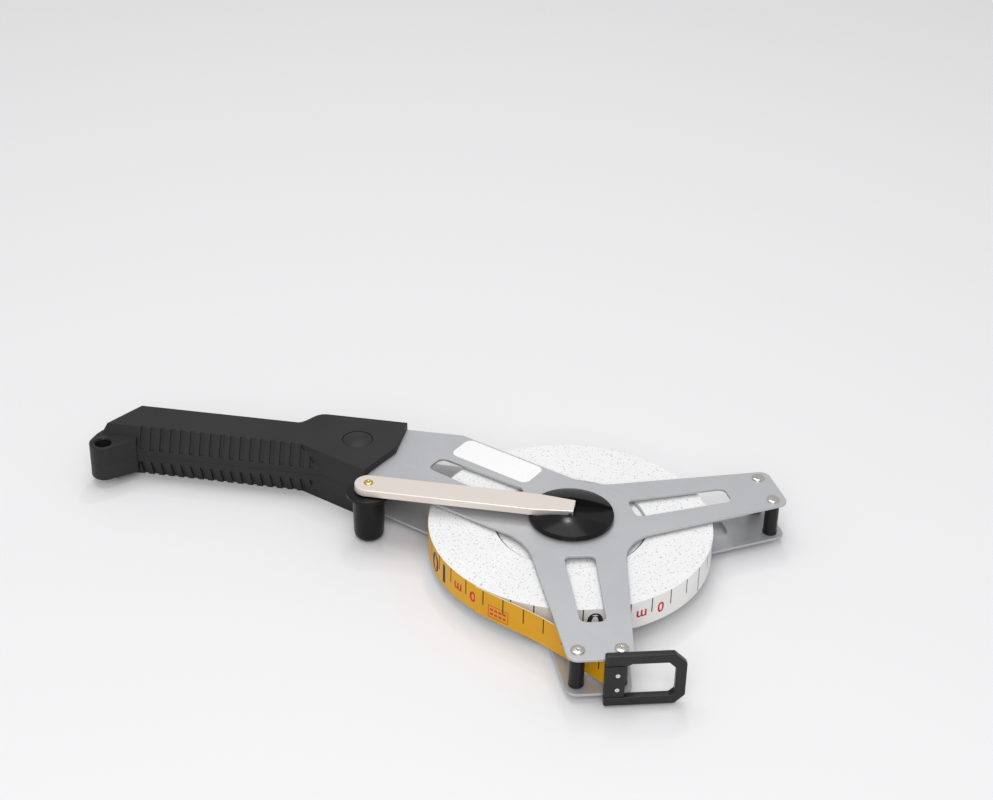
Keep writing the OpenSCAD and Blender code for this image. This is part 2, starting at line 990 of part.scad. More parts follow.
module end_ring() {
    slot_bot = coil_bot - 1 - knuckle_gap;
    slot_h = clamp_h + 2 * knuckle_gap;
    color("black")
        at_hinge()
            difference() {
                union() {
                    translate([-ring_t / 2, 0, ring_bot])
                        rotate([90, 0, 90])
                            linear_extrude(ring_t)
                                ring_2d();
                    translate([0, 0, ring_bot])
                        cylinder(r = ring_t / 2, h = ring_h);
                }
                translate([-ring_t, -ring_t, slot_bot])
                    cube([2 * ring_t, clamp_w + ring_t / 2 + 1, slot_h]);
                translate([0, 0, ring_bot + 1.2])
                    cylinder(r = ring_pin_r + fit, h = ring_h);
            }
}

module ring_pin() {
    color("silver")
        at_hinge()
            translate([0, 0, ring_bot + 1.3])
                cylinder(r = ring_pin_r, h = ring_h - 1.5);
}

top_plate();
lower_plate();
frame_rivets();
arm_spacers();
axle();
axle_washer();
axle_nut();
thrust_washer();
top_bush();
rear_cap();
label();
tape_run();
handle_upper();
handle_lower();
handle_core();
handle_bolt();
handle_nut();
dowel_pins();
handle_screws();
bolt_cap_upper();
bolt_cap_lower();
spool();
tape_coil();
tape_anchor();
turret();
turret_screws();
crank_pin();
crank_arm();
knob_pin();
knob_pin_washer();
knob();
knob_plug();
roller_left();
roller_right();
tape_lead();
tape_clamp();
clamp_rivets();
end_ring();
ring_pin();
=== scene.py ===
import math

import bmesh
import bpy
from mathutils import Matrix, Vector, noise


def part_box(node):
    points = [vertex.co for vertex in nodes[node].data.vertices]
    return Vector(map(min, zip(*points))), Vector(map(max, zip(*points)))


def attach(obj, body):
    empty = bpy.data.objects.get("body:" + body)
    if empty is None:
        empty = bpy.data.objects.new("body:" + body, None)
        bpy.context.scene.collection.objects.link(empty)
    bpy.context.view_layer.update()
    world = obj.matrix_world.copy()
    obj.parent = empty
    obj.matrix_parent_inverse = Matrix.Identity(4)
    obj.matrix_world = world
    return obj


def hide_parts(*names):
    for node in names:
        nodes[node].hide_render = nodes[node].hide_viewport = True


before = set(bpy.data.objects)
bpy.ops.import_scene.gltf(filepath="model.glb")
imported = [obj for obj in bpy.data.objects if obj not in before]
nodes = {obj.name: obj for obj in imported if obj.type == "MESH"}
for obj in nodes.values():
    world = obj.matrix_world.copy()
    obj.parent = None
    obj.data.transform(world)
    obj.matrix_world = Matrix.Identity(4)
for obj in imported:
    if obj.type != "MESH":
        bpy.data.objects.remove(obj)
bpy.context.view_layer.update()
mm = 0.001
print("stage: frame loaded")

cameraSetup = {"place": (0.35535, -0.59222, 0.50569), "turn": (58.2807, -1.2090, 34.4393), "lens": 71.85}

camera = bpy.data.objects.new("camera", bpy.data.cameras.new("camera"))
camera.location = cameraSetup["place"]
camera.rotation_euler = [math.radians(a) for a in cameraSetup["turn"]]
camera.data.lens = cameraSetup["lens"]
camera.data.clip_start = 0.01
bpy.context.collection.objects.link(camera)
bpy.context.scene.camera = camera
bpy.context.scene.view_settings.view_transform = "Standard"

# Lengths are in millimetres and agree with the frame; mm turns them into metres
layout = {"armAngle": 50.2, "gripAngle": 205.1, "gripOffset": -37.0}
sharpAngle = math.radians(40)


def polar(r, degrees):
    a = math.radians(degrees)
    return Vector((r * math.cos(a), r * math.sin(a)))


def armPoint(side, reach, across):
    return Matrix.Rotation(math.radians(layout["armAngle"] * side), 2) @ Vector((reach, across))


def gripPoint(along, across):
    return Matrix.Rotation(math.radians(layout["gripAngle"]), 2) @ Vector((along, across))


def level(name):
    low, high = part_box(name)
    return low[2] / mm, high[2] / mm


# Closed outline through (x, y, radius) corners; a corner of no radius or nearly straight stays a point
def roundedPath(corners, step=7.0):
    points = []
    for i, (x, y, r) in enumerate(corners):
        here = Vector((x, y))
        back = (Vector(corners[i - 1][:2]) - here).normalized()
        ahead = (Vector(corners[(i + 1) % len(corners)][:2]) - here).normalized()
        half = back.angle(ahead) / 2
        if r <= 0 or half > math.radians(89):
            points.append(here)
            continue
        centre = here + (back + ahead).normalized() * (r / math.sin(half))
        start = here + back * (r / math.tan(half)) - centre
        stop = here + ahead * (r / math.tan(half)) - centre
        turn = math.atan2(start.x * stop.y - start.y * stop.x, start.dot(stop))
        count = max(2, int(abs(math.degrees(turn)) / step))
        for k in range(count + 1):
            points.append(centre + Matrix.Rotation(turn * k / count, 2) @ start)
    return points


def circlePath(centre, radius, count=64):
    return [Vector(centre) + polar(radius, 360 * k / count) for k in range(count)]


def curveMesh(curve):
    holder = bpy.data.objects.new(curve.name, curve)
    bpy.context.collection.objects.link(holder)
    bpy.context.view_layer.update()
    mesh = bpy.data.meshes.new_from_object(holder.evaluated_get(bpy.context.evaluated_depsgraph_get()))
    bpy.data.objects.remove(holder)
    return mesh


# A flat piece with holes, cut from a curve, its edges eased, centred on z = 0
def cutSheet(name, outline, holes, thick, edge):
    curve = bpy.data.curves.new(name, "CURVE")
    curve.dimensions = "2D"
    curve.fill_mode = "BOTH"
    curve.extrude = (thick / 2 - edge) * mm
    curve.bevel_depth = edge * mm
    curve.bevel_resolution = 2
    curve.offset = -edge * mm
    for loop in [outline] + holes:
        spline = curve.splines.new("POLY")
        spline.points.add(len(loop) - 1)
        for point, at in zip(spline.points, loop):
            point.co = (at[0] * mm, at[1] * mm, 0, 1)
        spline.use_cyclic_u = True
    bm = bmesh.new()
    bm.from_mesh(curveMesh(curve))
    bmesh.ops.remove_doubles(bm, verts=bm.verts, dist=2e-6)
    return bm


# Spins (radius, height) steps round the upright axis through centre; a step of no radius is one point
def spinProfile(bm, profile, centre=(0, 0), segments=96, closed=False):
    rings = []
    for r, z in profile:
        ring = circlePath(centre, r, segments if r else 1)
        rings.append([bm.verts.new((p.x * mm, p.y * mm, z * mm)) for p in ring])
    for low, high in zip(rings, rings[1:] + (rings[:1] if closed else [])):
        for k in range(segments):
            corners = [low[k % len(low)], low[(k + 1) % len(low)], high[(k + 1) % len(high)],
                       high[k % len(high)]]
            bm.faces.new(list(dict.fromkeys(corners)))


# Rounds the corners of a (radius, height) profile, apart from its two ends
def eased(profile, size, steps=3):
    out = [profile[0]]
    for a, b, c in zip(profile, profile[1:], profile[2:]):
        a, b, c = Vector(a), Vector(b), Vector(c)
        cut = min(size, (a - b).length * 0.45, (c - b).length * 0.45)
        p, q = b + (a - b).normalized() * cut, b + (c - b).normalized() * cut
        for k in range(steps + 1):
            t = k / steps
            out.append(tuple((1 - t) ** 2 * p + 2 * t * (1 - t) * b + t * t * q))
    out.append(profile[-1])
    return out


def easeEdges(bm, edges, size, segments=3):
    bmesh.ops.bevel(bm, geom=edges, offset=size * mm, offset_type="OFFSET", segments=segments, profile=0.5,
                    affect="EDGES", clamp_overlap=False, material=-1)


def whole(bm):
    return bm.verts[:] + bm.edges[:] + bm.faces[:]


# Removes what lies past a plane and closes the cut
def cutAway(bm, at, normal):
    bmesh.ops.bisect_plane(bm, geom=whole(bm), dist=1e-7, plane_co=at, plane_no=normal, clear_outer=True)
    bmesh.ops.holes_fill(bm, edges=[e for e in bm.edges if len(e.link_faces) == 1])


# Extrudes faces and raises the new ones
def extrudeUp(bm, faces, rise):
    made = bmesh.ops.extrude_face_region(bm, geom=faces)["geom"]
    verts = [v for v in made if isinstance(v, bmesh.types.BMVert)]
    bmesh.ops.translate(bm, vec=(0, 0, rise * mm), verts=verts)


# Edges whose faces turn by more than the sharp angle
def sharpEdges(bm):
    return [e for e in bm.edges if len(e.link_faces) == 2 and e.calc_face_angle(0) > sharpAngle]


def finishPiece(name, bm, body, materials, slot, replaced=(), smooth=32, matrix=None, turnOut=True):
    if matrix is not None:
        bmesh.ops.transform(bm, matrix=matrix, verts=bm.verts)
    if turnOut:
        bmesh.ops.recalc_face_normals(bm, faces=bm.faces)
    mesh = bpy.data.meshes.new(name)
    bm.to_mesh(mesh)
    bm.free()
    for material in materials if isinstance(materials, (list, tuple)) else [materials]:
        mesh.materials.append(material)
    mesh.shade_smooth()
    mesh.set_sharp_from_angle(angle=math.radians(smooth))
    piece = bpy.data.objects.new(name, mesh)
    bpy.context.collection.objects.link(piece)
    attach(piece, body)
    if replaced:
        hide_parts(*replaced)
    weigh = piece.modifiers.new("weigh", "WEIGHTED_NORMAL")
    weigh.keep_sharp, weigh.weight = True, 60
    return piece


# The usual case: a new shape in one finish that stands for one frame node
def dress(node, bm, body, finish, slot, **more):
    return finishPiece(node + "_dressed", bm, body, materials[finish], slot, [node], **more)


# A merged copy of a frame node's shape, its flat faces joined up
def fromFrame(name):
    bm = bmesh.new()
    bm.from_mesh(nodes[name].data)
    bmesh.ops.remove_doubles(bm, verts=bm.verts, dist=4e-6)
    bmesh.ops.dissolve_limit(bm, angle_limit=math.radians(1.0), verts=bm.verts, edges=bm.edges)
    bmesh.ops.recalc_face_normals(bm, faces=bm.faces)
    return bm


def newGroup(name, inputs, outputs):
    tree = bpy.data.node_groups.new(name, "ShaderNodeTree")
    for label, kind, value in inputs:
        socket = tree.interface.new_socket(label, in_out="INPUT", socket_type=kind)
        if value is not None:
            socket.default_value = value
    for label, kind in outputs:
        tree.interface.new_socket(label, in_out="OUTPUT", socket_type=kind)
    return tree, tree.nodes.new("NodeGroupInput"), tree.nodes.new("NodeGroupOutput")


def addNode(tree, kind, settings=None, **inputs):
    node = tree.nodes.new(kind)
    for key, value in (settings or {}).items():
        setattr(node, key, value)
    for key, value in inputs.items():
        socket = node.inputs[int(key[1:])] if key[0] == "i" and key[1:].isdigit() else node.inputs[key]
        if isinstance(value, bpy.types.NodeSocket):
            tree.links.new(value, socket)
        else:
            socket.default_value = value
    return node


# Fine grain and broad handling marks, as a tint, a roughness and a height
def makeFinishGroup():
    tree, given, result = newGroup(
        "HandledFinish",
        [("Vector", "NodeSocketVector", None), ("Grain", "NodeSocketFloat", 900.0),
         ("Blotch", "NodeSocketFloat", 30.0), ("Rough Low", "NodeSocketFloat", 0.3),
         ("Rough High", "NodeSocketFloat", 0.5)],
        [("Tint", "NodeSocketFloat"), ("Roughness", "NodeSocketFloat"), ("Height", "NodeSocketFloat")])
    grain = addNode(tree, "ShaderNodeTexNoise", Vector=given.outputs["Vector"], Scale=given.outputs["Grain"],
                    Detail=3.0, Roughness=0.6)
    blotch = addNode(tree, "ShaderNodeTexNoise", Vector=given.outputs["Vector"],
                     Scale=given.outputs["Blotch"], Detail=4.0, Roughness=0.55, Distortion=0.6)
    mixed = addNode(tree, "ShaderNodeMath", {"operation": "MULTIPLY_ADD"}, i0=grain.outputs["Fac"], i1=0.35,
                    i2=blotch.outputs["Fac"])
    rough = addNode(tree, "ShaderNodeMapRange", Value=mixed.outputs[0], i1=0.45, i2=0.9,
                    i3=given.outputs["Rough Low"], i4=given.outputs["Rough High"])
    tree.links.new(mixed.outputs[0], result.inputs["Tint"])
    tree.links.new(rough.outputs[0], result.inputs["Roughness"])
    tree.links.new(grain.outputs["Fac"], result.inputs["Height"])
    return tree


# Sparse short scratches: thin bands of two stretched noises, where a broad noise lets them show
def makeScuffGroup():
    tree, given, result = newGroup(
        "Scuffs", [("Vector", "NodeSocketVector", None), ("Scale", "NodeSocketFloat", 60.0),
                   ("Amount", "NodeSocketFloat", 0.5)], [("Mask", "NodeSocketFloat")])
    last = None
    for turn, stretch in ((0.4, (1, 14, 1)), (1.9, (1, 11, 1))):
        place = addNode(tree, "ShaderNodeMapping", Vector=given.outputs["Vector"], Rotation=(0, 0, turn),
                        Scale=stretch)
        lines = addNode(tree, "ShaderNodeTexNoise", Vector=place.outputs[0], Scale=given.outputs["Scale"],
                        Detail=2.0)
        thin = addNode(tree, "ShaderNodeMapRange", Value=lines.outputs["Fac"], i1=0.68, i2=0.74, i3=0.0,
                       i4=1.0)
        if last:
            thin = addNode(tree, "ShaderNodeMath", {"operation": "MAXIMUM"}, i0=last.outputs[0],
                           i1=thin.outputs[0])
        last = thin
    broad = addNode(tree, "ShaderNodeTexNoise", Vector=given.outputs["Vector"], Scale=35.0, Detail=1.0)
    gate = addNode(tree, "ShaderNodeMapRange", Value=broad.outputs["Fac"], i1=0.5, i2=0.62, i3=0.0, i4=1.0)
    shown = addNode(tree, "ShaderNodeMath", {"operation": "MULTIPLY"}, i0=last.outputs[0], i1=gate.outputs[0])
    scaled = addNode(tree, "ShaderNodeMath", {"operation": "MULTIPLY"}, i0=shown.outputs[0],
                     i1=given.outputs["Amount"])
    tree.links.new(scaled.outputs[0], result.inputs["Mask"])
    return tree


finishGroup = makeFinishGroup()
scuffGroup = makeScuffGroup()

# Per finish: two colours that the blotches mix, metal, gloss, roughness range, grain per metre and its
# stretch, bump, and the scuffs' strength and colour
surfaces = {
    "plate": {"colour": (0.50, 0.505, 0.52), "second": (0.44, 0.445, 0.46), "metal": 0.4,
              "rough": (0.36, 0.46), "grain": 2600, "bump": 0.05, "scuff": (0.3, (0.60, 0.60, 0.61))},
    "nickel": {"colour": (0.74, 0.72, 0.68), "second": (0.62, 0.60, 0.56), "metal": 1.0,
               "rough": (0.14, 0.26), "grain": 1500, "bump": 0.03, "scuff": (0.3, (0.8, 0.79, 0.76))},
    "steel": {"colour": (0.42, 0.42, 0.43), "second": (0.33, 0.33, 0.34), "metal": 1.0,
              "rough": (0.3, 0.45), "grain": 1800, "stretch": (1, 1, 6), "bump": 0.05,
              "scuff": (0.3, (0.55, 0.55, 0.55))},
    "crank": {"colour": (0.76, 0.69, 0.64), "second": (0.73, 0.66, 0.61), "metal": 0.5,
              "rough": (0.36, 0.44), "grain": 500, "bump": 0.006, "scuff": (0.15, (0.90, 0.84, 0.78))},
    "brass": {"colour": (0.74, 0.55, 0.22), "second": (0.58, 0.40, 0.15), "metal": 0.9,
              "rough": (0.2, 0.32), "grain": 1500, "bump": 0.03, "scuff": (0.3, (0.85, 0.70, 0.42))},
    "hub": {"colour": (0.007, 0.007, 0.008), "second": (0.012, 0.012, 0.013), "gloss": 0.15,
            "rough": (0.14, 0.2), "grain": 900, "bump": 0.005, "scuff": (0.2, (0.04, 0.04, 0.04))},
    "grip": {"colour": (0.010, 0.010, 0.011), "second": (0.018, 0.018, 0.019), "gloss": 0.32,
             "rough": (0.42, 0.56), "grain": 2200, "bump": 0.16, "scuff": (0.35, (0.045, 0.045, 0.047))},
    "knob": {"colour": (0.006, 0.006, 0.007), "second": (0.011, 0.011, 0.012), "gloss": 0.18,
             "rough": (0.25, 0.38), "grain": 1600, "bump": 0.06, "scuff": (0.3, (0.04, 0.04, 0.04))},
    "post": {"colour": (0.008, 0.008, 0.009), "second": (0.013, 0.013, 0.014), "gloss": 0.22,
             "rough": (0.28, 0.4), "grain": 1500, "stretch": (1, 1, 5), "bump": 0.05,
             "scuff": (0.3, (0.06, 0.06, 0.06))},
    "ring": {"colour": (0.009, 0.009, 0.010), "second": (0.016, 0.016, 0.017), "gloss": 0.35,
             "rough": (0.26, 0.38), "grain": 1800, "bump": 0.08, "scuff": (0.35, (0.05, 0.05, 0.05))},
    "spool": {"colour": (0.76, 0.76, 0.74), "second": (0.68, 0.68, 0.66),
              "rough": (0.38, 0.5), "grain": 1200, "bump": 0.05, "scuff": (0.2, (0.62, 0.62, 0.60))},
    "tapeWhite": {"colour": (0.84, 0.83, 0.82), "second": (0.78, 0.77, 0.76), "gloss": 0.4,
                  "rough": (0.3, 0.42), "grain": 1400, "bump": 0.04, "scuff": (0.2, (0.66, 0.65, 0.62))},
    "tapeYellow": {"colour": (0.68, 0.34, 0.005), "second": (0.60, 0.285, 0.004), "gloss": 0.25,
                   "rough": (0.3, 0.42), "grain": 1400, "bump": 0.04, "scuff": (0.2, (0.62, 0.36, 0.04))},
    "tapeEdge": {"colour": (0.80, 0.74, 0.56), "second": (0.70, 0.62, 0.42),
                 "rough": (0.3, 0.42), "grain": 1400, "bump": 0.04, "scuff": (0.2, (0.6, 0.5, 0.3))},
    "label": {"colour": (0.86, 0.86, 0.86), "second": (0.82, 0.82, 0.82),
              "rough": (0.25, 0.36), "grain": 1300, "bump": 0.02, "scuff": (0.12, (0.74, 0.74, 0.74))},
    "inkBlack": {"colour": (0.010, 0.009, 0.008), "second": (0.03, 0.027, 0.024), "gloss": 0.2,
                 "rough": (0.4, 0.52), "grain": 3000, "bump": 0.03, "scuff": (0.25, (0.15, 0.13, 0.11))},
    "inkRed": {"colour": (0.48, 0.012, 0.022), "second": (0.54, 0.03, 0.035), "gloss": 0.2,
               "rough": (0.4, 0.52), "grain": 3000, "bump": 0.03, "scuff": (0.25, (0.6, 0.2, 0.16))},
}


def makeMaterial(name, spec):
    material = bpy.data.materials.new(name)
    material.use_nodes = True
    tree = material.node_tree
    shader = tree.nodes["Principled BSDF"]
    shader.inputs["Metallic"].default_value = spec.get("metal", 0.0)
    shader.inputs["Specular IOR Level"].default_value = spec.get("gloss", 0.5)
    where = addNode(tree, "ShaderNodeTexCoord")
    stretched = addNode(tree, "ShaderNodeMapping", Vector=where.outputs["Object"],
                        Scale=spec.get("stretch", (1, 1, 1)))
    roughLow, roughHigh = spec["rough"]
    scuffAmount, scuffColour = spec["scuff"]
    finish = addNode(tree, "ShaderNodeGroup", {"node_tree": finishGroup}, Vector=stretched.outputs[0],
                     Grain=spec["grain"], **{"Rough Low": roughLow, "Rough High": roughHigh})
    scuffs = addNode(tree, "ShaderNodeGroup", {"node_tree": scuffGroup}, Vector=where.outputs["Object"],
                     Amount=scuffAmount)
    shade = addNode(tree, "ShaderNodeMapRange", Value=finish.outputs["Tint"], i1=0.5, i2=0.9, i3=0.0, i4=1.0)
    body = addNode(tree, "ShaderNodeMix", {"data_type": "RGBA"}, i0=shade.outputs[0],
                   i6=spec["colour"] + (1,), i7=spec["second"] + (1,))
    worn = addNode(tree, "ShaderNodeMix", {"data_type": "RGBA"}, i0=scuffs.outputs["Mask"],
                   i6=body.outputs[2], i7=scuffColour + (1,))
    tree.links.new(worn.outputs[2], shader.inputs["Base Color"])
    rough = addNode(tree, "ShaderNodeMath", {"operation": "MULTIPLY_ADD", "use_clamp": True},
                    i0=scuffs.outputs["Mask"], i1=0.18, i2=finish.outputs["Roughness"])
    tree.links.new(rough.outputs[0], shader.inputs["Roughness"])
    bump = addNode(tree, "ShaderNodeBump", Strength=spec["bump"], Distance=0.0004,
                   Height=finish.outputs["Height"])
    tree.links.new(bump.outputs[0], shader.inputs["Normal"])
    return material


materials = {name: makeMaterial(name, spec) for name, spec in surfaces.items()}

woundFinish = {"rings": 2600.0, "ringShade": 0.92, "specks": 1150.0, "speckFrom": 0.615, "speckTo": 0.675,
               "speckColour": (0.30, 0.31, 0.33), "bump": 0.35}


# The wound tape's side: fine rings round the drum, with small dark specks
def makeWoundEdge():
    scuffColour = surfaces["tapeWhite"]["scuff"][1]
    material = makeMaterial("woundEdge", dict(surfaces["tapeWhite"], colour=(0.84, 0.84, 0.845),
                                              second=(0.80, 0.80, 0.805), rough=(0.45, 0.6),
                                              scuff=(0.1, scuffColour)))
    tree = material.node_tree
    shader = tree.nodes["Principled BSDF"]
    where = [n for n in tree.nodes if n.type == "TEX_COORD"][0]
    flat = addNode(tree, "ShaderNodeVectorMath", {"operation": "MULTIPLY"}, i0=where.outputs["Object"],
                   i1=(1, 1, 0))
    reach = addNode(tree, "ShaderNodeVectorMath", {"operation": "LENGTH"}, i0=flat.outputs[0])
    rings = addNode(tree, "ShaderNodeTexNoise", {"noise_dimensions": "1D"}, W=reach.outputs["Value"],
                    Scale=woundFinish["rings"], Detail=2.0)
    specks = addNode(tree, "ShaderNodeTexNoise", Vector=where.outputs["Object"], Scale=woundFinish["specks"],
                     Detail=2.5)
    dots = addNode(tree, "ShaderNodeMapRange", Value=specks.outputs["Fac"], i1=woundFinish["speckFrom"],
                   i2=woundFinish["speckTo"], i3=0.0, i4=0.8)
    tone = addNode(tree, "ShaderNodeMapRange", Value=rings.outputs["Fac"], i1=0.35, i2=0.7, i3=1.0,
                   i4=woundFinish["ringShade"])
    old = shader.inputs["Base Color"].links[0].from_socket
    ringed = addNode(tree, "ShaderNodeMix", {"data_type": "RGBA", "blend_type": "MULTIPLY"}, i0=1.0, i6=old,
                     i7=tone.outputs[0])
    dotted = addNode(tree, "ShaderNodeMix", {"data_type": "RGBA"}, i0=dots.outputs[0], i6=ringed.outputs[2],
                     i7=woundFinish["speckColour"] + (1,))
    tree.links.new(dotted.outputs[2], shader.inputs["Base Color"])
    bump = [n for n in tree.nodes if n.type == "BUMP"][0]
    bump.inputs["Strength"].default_value = woundFinish["bump"]
    tree.links.new(rings.outputs["Fac"], bump.inputs["Height"])
    return material


materials["woundEdge"] = makeWoundEdge()
print("stage: materials")

plates = {"armReach": 94.6, "rootHalf": 22.3, "taper": 0.1, "endCorner": 4.5, "handleHalf": 25.5,
          "web": 25.0, "innerWeb": 20.5, "backCut": -74.0, "backCorner": 1.5, "backEnd": (82.5, -54.4),
          "hiddenFront": -96.0, "hiddenEnd": -100.0, "windowIn": 27.3, "windowOut": 71.4,
          "windowHalf": (6.5, 5.2), "windowCorner": 3.0, "edge": 0.16, "topHole": 14.5, "lowerHole": 5.05}


def armHalf(reach):
    return plates["rootHalf"] - plates["taper"] * reach


def armCorner(side, across):
    at = armPoint(side, plates["armReach"], across * armHalf(plates["armReach"]))
    return (at.x, at.y, plates["endCorner"])


def windowPath(angle):
    wide, narrow = plates["windowHalf"]
    ends = [(plates["windowIn"], -wide), (plates["windowOut"], -narrow), (plates["windowOut"], narrow),
            (plates["windowIn"], wide)]
    turn = Matrix.Rotation(math.radians(angle), 2)
    path = roundedPath([(x, y, plates["windowCorner"]) for x, y in ends], step=9)
    return [turn @ p for p in path]


# The arms' edges meet at innerX between the arms and at outerX beside the handle
armTurn = math.radians(layout["armAngle"])
sinArm, cosArm = math.sin(armTurn), math.cos(armTurn)
innerX = plates["rootHalf"] / (sinArm + plates["taper"] * cosArm)
outerReach = (plates["handleHalf"] - plates["rootHalf"] * cosArm) / (sinArm - plates["taper"] * cosArm)
outerX = outerReach * cosArm - armHalf(outerReach) * sinArm
backEnd = gripPoint(*plates["backEnd"])
plateOutline = roundedPath([
    (plates["hiddenFront"], -plates["handleHalf"], 0), (outerX, -plates["handleHalf"], plates["web"]),
    armCorner(-1, -1), armCorner(-1, 1), (innerX, 0, plates["innerWeb"]), armCorner(1, -1), armCorner(1, 1),
    (outerX, plates["handleHalf"], plates["web"]),
    (plates["backCut"], plates["handleHalf"], plates["backCorner"]),
    (backEnd.x, backEnd.y, 0), (plates["hiddenEnd"], 0, 0)], step=4)
windows = [windowPath(a) for a in (180, layout["armAngle"], -layout["armAngle"])]
for name, hole in (("top_plate", plates["topHole"]), ("lower_plate", plates["lowerHole"])):
    low, high = level(name)
    bm = cutSheet(name, plateOutline, windows + [circlePath((0, 0), hole)], high - low, plates["edge"])
    dress(name, bm, "frame", "plate", "plate_steel", smooth=40,
          matrix=Matrix.Translation((0, 0, (low + high) / 2 * mm)))
topFace = level("top_plate")[1]
lowFace = level("lower_plate")[0]
print("stage: plates")

# A head is given as (radius, height) steps from the plate to its middle
rivets = {"reach": 88.8, "half": 8.6, "shank": 1.45,
          "head": ((2.85, 0), (2.85, 0.55), (2.73, 0.69), (2.35, 0.84), (1.65, 0.94), (0.6, 0.98),
                   (0.35, 0.92), (0, 0.91))}

profile = [(r, lowFace - z) for r, z in reversed(rivets["head"])]
profile += [(rivets["shank"], lowFace), (rivets["shank"], topFace)]
profile += [(r, topFace + z) for r, z in rivets["head"]]
bm = bmesh.new()
for side in (-1, 1):
    for across in (-rivets["half"], rivets["half"]):
        spinProfile(bm, profile, armPoint(side, rivets["reach"], across), 48)
dress("frame_rivets", bm, "frame", "nickel", "rivet_nickel", smooth=50)

posts = {"radius": 3.15, "chamfer": 0.35, "waist": 0.12, "waistFrom": (1.4, 1.8), "postBore": 1.5,
         "rollerBore": 1.56}


def addPost(bm, at, low, high, bore):
    r, c, waist = posts["radius"], posts["chamfer"], posts["radius"] - posts["waist"]
    begin, end = posts["waistFrom"]
    spinProfile(bm, [(bore, low), (r - c, low), (r, low + c), (r, low + begin), (waist, low + end),
                     (waist, high - end), (r, high - begin), (r, high - c), (r - c, high), (bore, high)],
                at, 64, closed=True)


bm = bmesh.new()
for across in (-rivets["half"], rivets["half"]):
    addPost(bm, armPoint(1, rivets["reach"], across), *level("arm_spacers"), posts["postBore"])
finishPiece("arm_posts", bm, "frame", materials["post"], "post_black", ["arm_spacers"])
for name, across in (("roller_left", -rivets["half"]), ("roller_right", rivets["half"])):
    bm = bmesh.new()
    addPost(bm, armPoint(-1, rivets["reach"], across), *level(name), posts["rollerBore"])
    dress(name, bm, name.split("_")[1] + "_roller", "post", "post_black")
print("stage: rivets and posts")

coil = {"outer": 60.65, "inner": 32.62, "ringStep": 0.45, "ripple": 0.07, "rippleScale": 1.7,
        "rippleDrop": 0.9, "segments": 288, "inset": 0.3, "innerEdge": 0.25, "outerEdge": 0.2,
        "layer": 0.18, "layerSunk": 0.02, "layerInset": 0.05, "yellowFrom": -206.0, "yellowSteps": 110}

coilLow, coilHigh = level("tape_coil")
coilWall = coil["outer"] - coil["layer"]
span = coil["outer"] - coil["inner"] - 2 * coil["inset"]
ringCount = int(span / coil["ringStep"])
side = []
for k in range(ringCount + 1):
    r = coil["inner"] + coil["inset"] + span * k / ringCount
    wave = noise.noise(Vector((r * coil["rippleScale"], 0, 0))) - coil["rippleDrop"]
    side.append((r, coil["ripple"] * wave))
profile = [(coil["inner"], coilLow + coil["innerEdge"])] + [(r, coilLow - z) for r, z in side]
profile += [(coilWall, coilLow + coil["outerEdge"]), (coilWall, coilHigh - coil["outerEdge"])]
profile += [(r, coilHigh + z) for r, z in reversed(side)] + [(coil["inner"], coilHigh - coil["innerEdge"])]
bm = bmesh.new()
spinProfile(bm, profile, (0, 0), coil["segments"], closed=True)
for face in bm.faces:
    onWall = all(v.co.xy.length > (coilWall - 0.03) * mm for v in face.verts)
    face.material_index = 1 if onWall else 0
finishPiece("tape_wound", bm, "drum", [materials["woundEdge"], materials["tapeWhite"]], "tape_white",
            ["tape_coil"], smooth=60)

# The free tape leaves the drum along a tangent, which the frame's longest edge there gives
lead = nodes["tape_lead"].data
ends = max(([lead.vertices[i].co for i in e.vertices] for e in lead.edges),
           key=lambda p: (p[0] - p[1]).length - 2 * abs(p[0].z - p[1].z))
ends.sort(key=lambda p: p.x)
leadAngle = math.degrees(math.atan2(ends[1].y - ends[0].y, ends[1].x - ends[0].x))
leadLength = (ends[1] - ends[0]).length / mm
tangent = leadAngle - 90
along, away = polar(1, leadAngle), polar(1, tangent)
leadInner = min(v.co.xy.dot(away) for v in lead.vertices) / mm

tape = {"thick": 0.25, "edge": 0.06, "slack": 2.3, "slackLength": 70.0, "cuts": 27}
tapeMiddle = (coilLow + coilHigh) / 2 * mm


# Faces on the tape's two long edges take the second material
def markEdges(bm):
    bm.normal_update()
    for face in bm.faces:
        face.material_index = 1 if abs(face.normal.z) > 0.5 else 0


# The free tape isn't taut, so between the drum and the mouth it bows in towards the drum
def slacken(bm):
    for v in bm.verts:
        reach = min(max(v.co.xy.dot(along) / mm, 0), tape["slackLength"])
        inward = tape["slack"] * math.sin(math.pi * reach / tape["slackLength"]) ** 2
        v.co.xy = v.co.xy - away * inward * mm


def straightTape(inside, thick, length):
    bm = bmesh.new()
    bmesh.ops.create_cube(bm, size=1.0)
    bmesh.ops.scale(bm, vec=(thick * mm, length * mm, (coilHigh - coilLow) * mm), verts=bm.verts)
    bmesh.ops.translate(bm, vec=((inside + thick / 2) * mm, length / 2 * mm, tapeMiddle), verts=bm.verts)
    outer = [e for e in bm.edges if all(v.co.x > (inside + thick / 2) * mm for v in e.verts)
             and abs(e.verts[0].co.z - e.verts[1].co.z) < 1e-6]
    easeEdges(bm, outer, tape["edge"], 2)
    lengthwise = [e for e in bm.edges if abs(e.verts[0].co.y - e.verts[1].co.y) > length * mm / 2]
    bmesh.ops.subdivide_edges(bm, edges=lengthwise, cuts=tape["cuts"], use_grid_fill=True)
    bmesh.ops.rotate(bm, matrix=Matrix.Rotation(math.radians(tangent), 3, "Z"), verts=bm.verts)
    slacken(bm)
    markEdges(bm)
    return bm


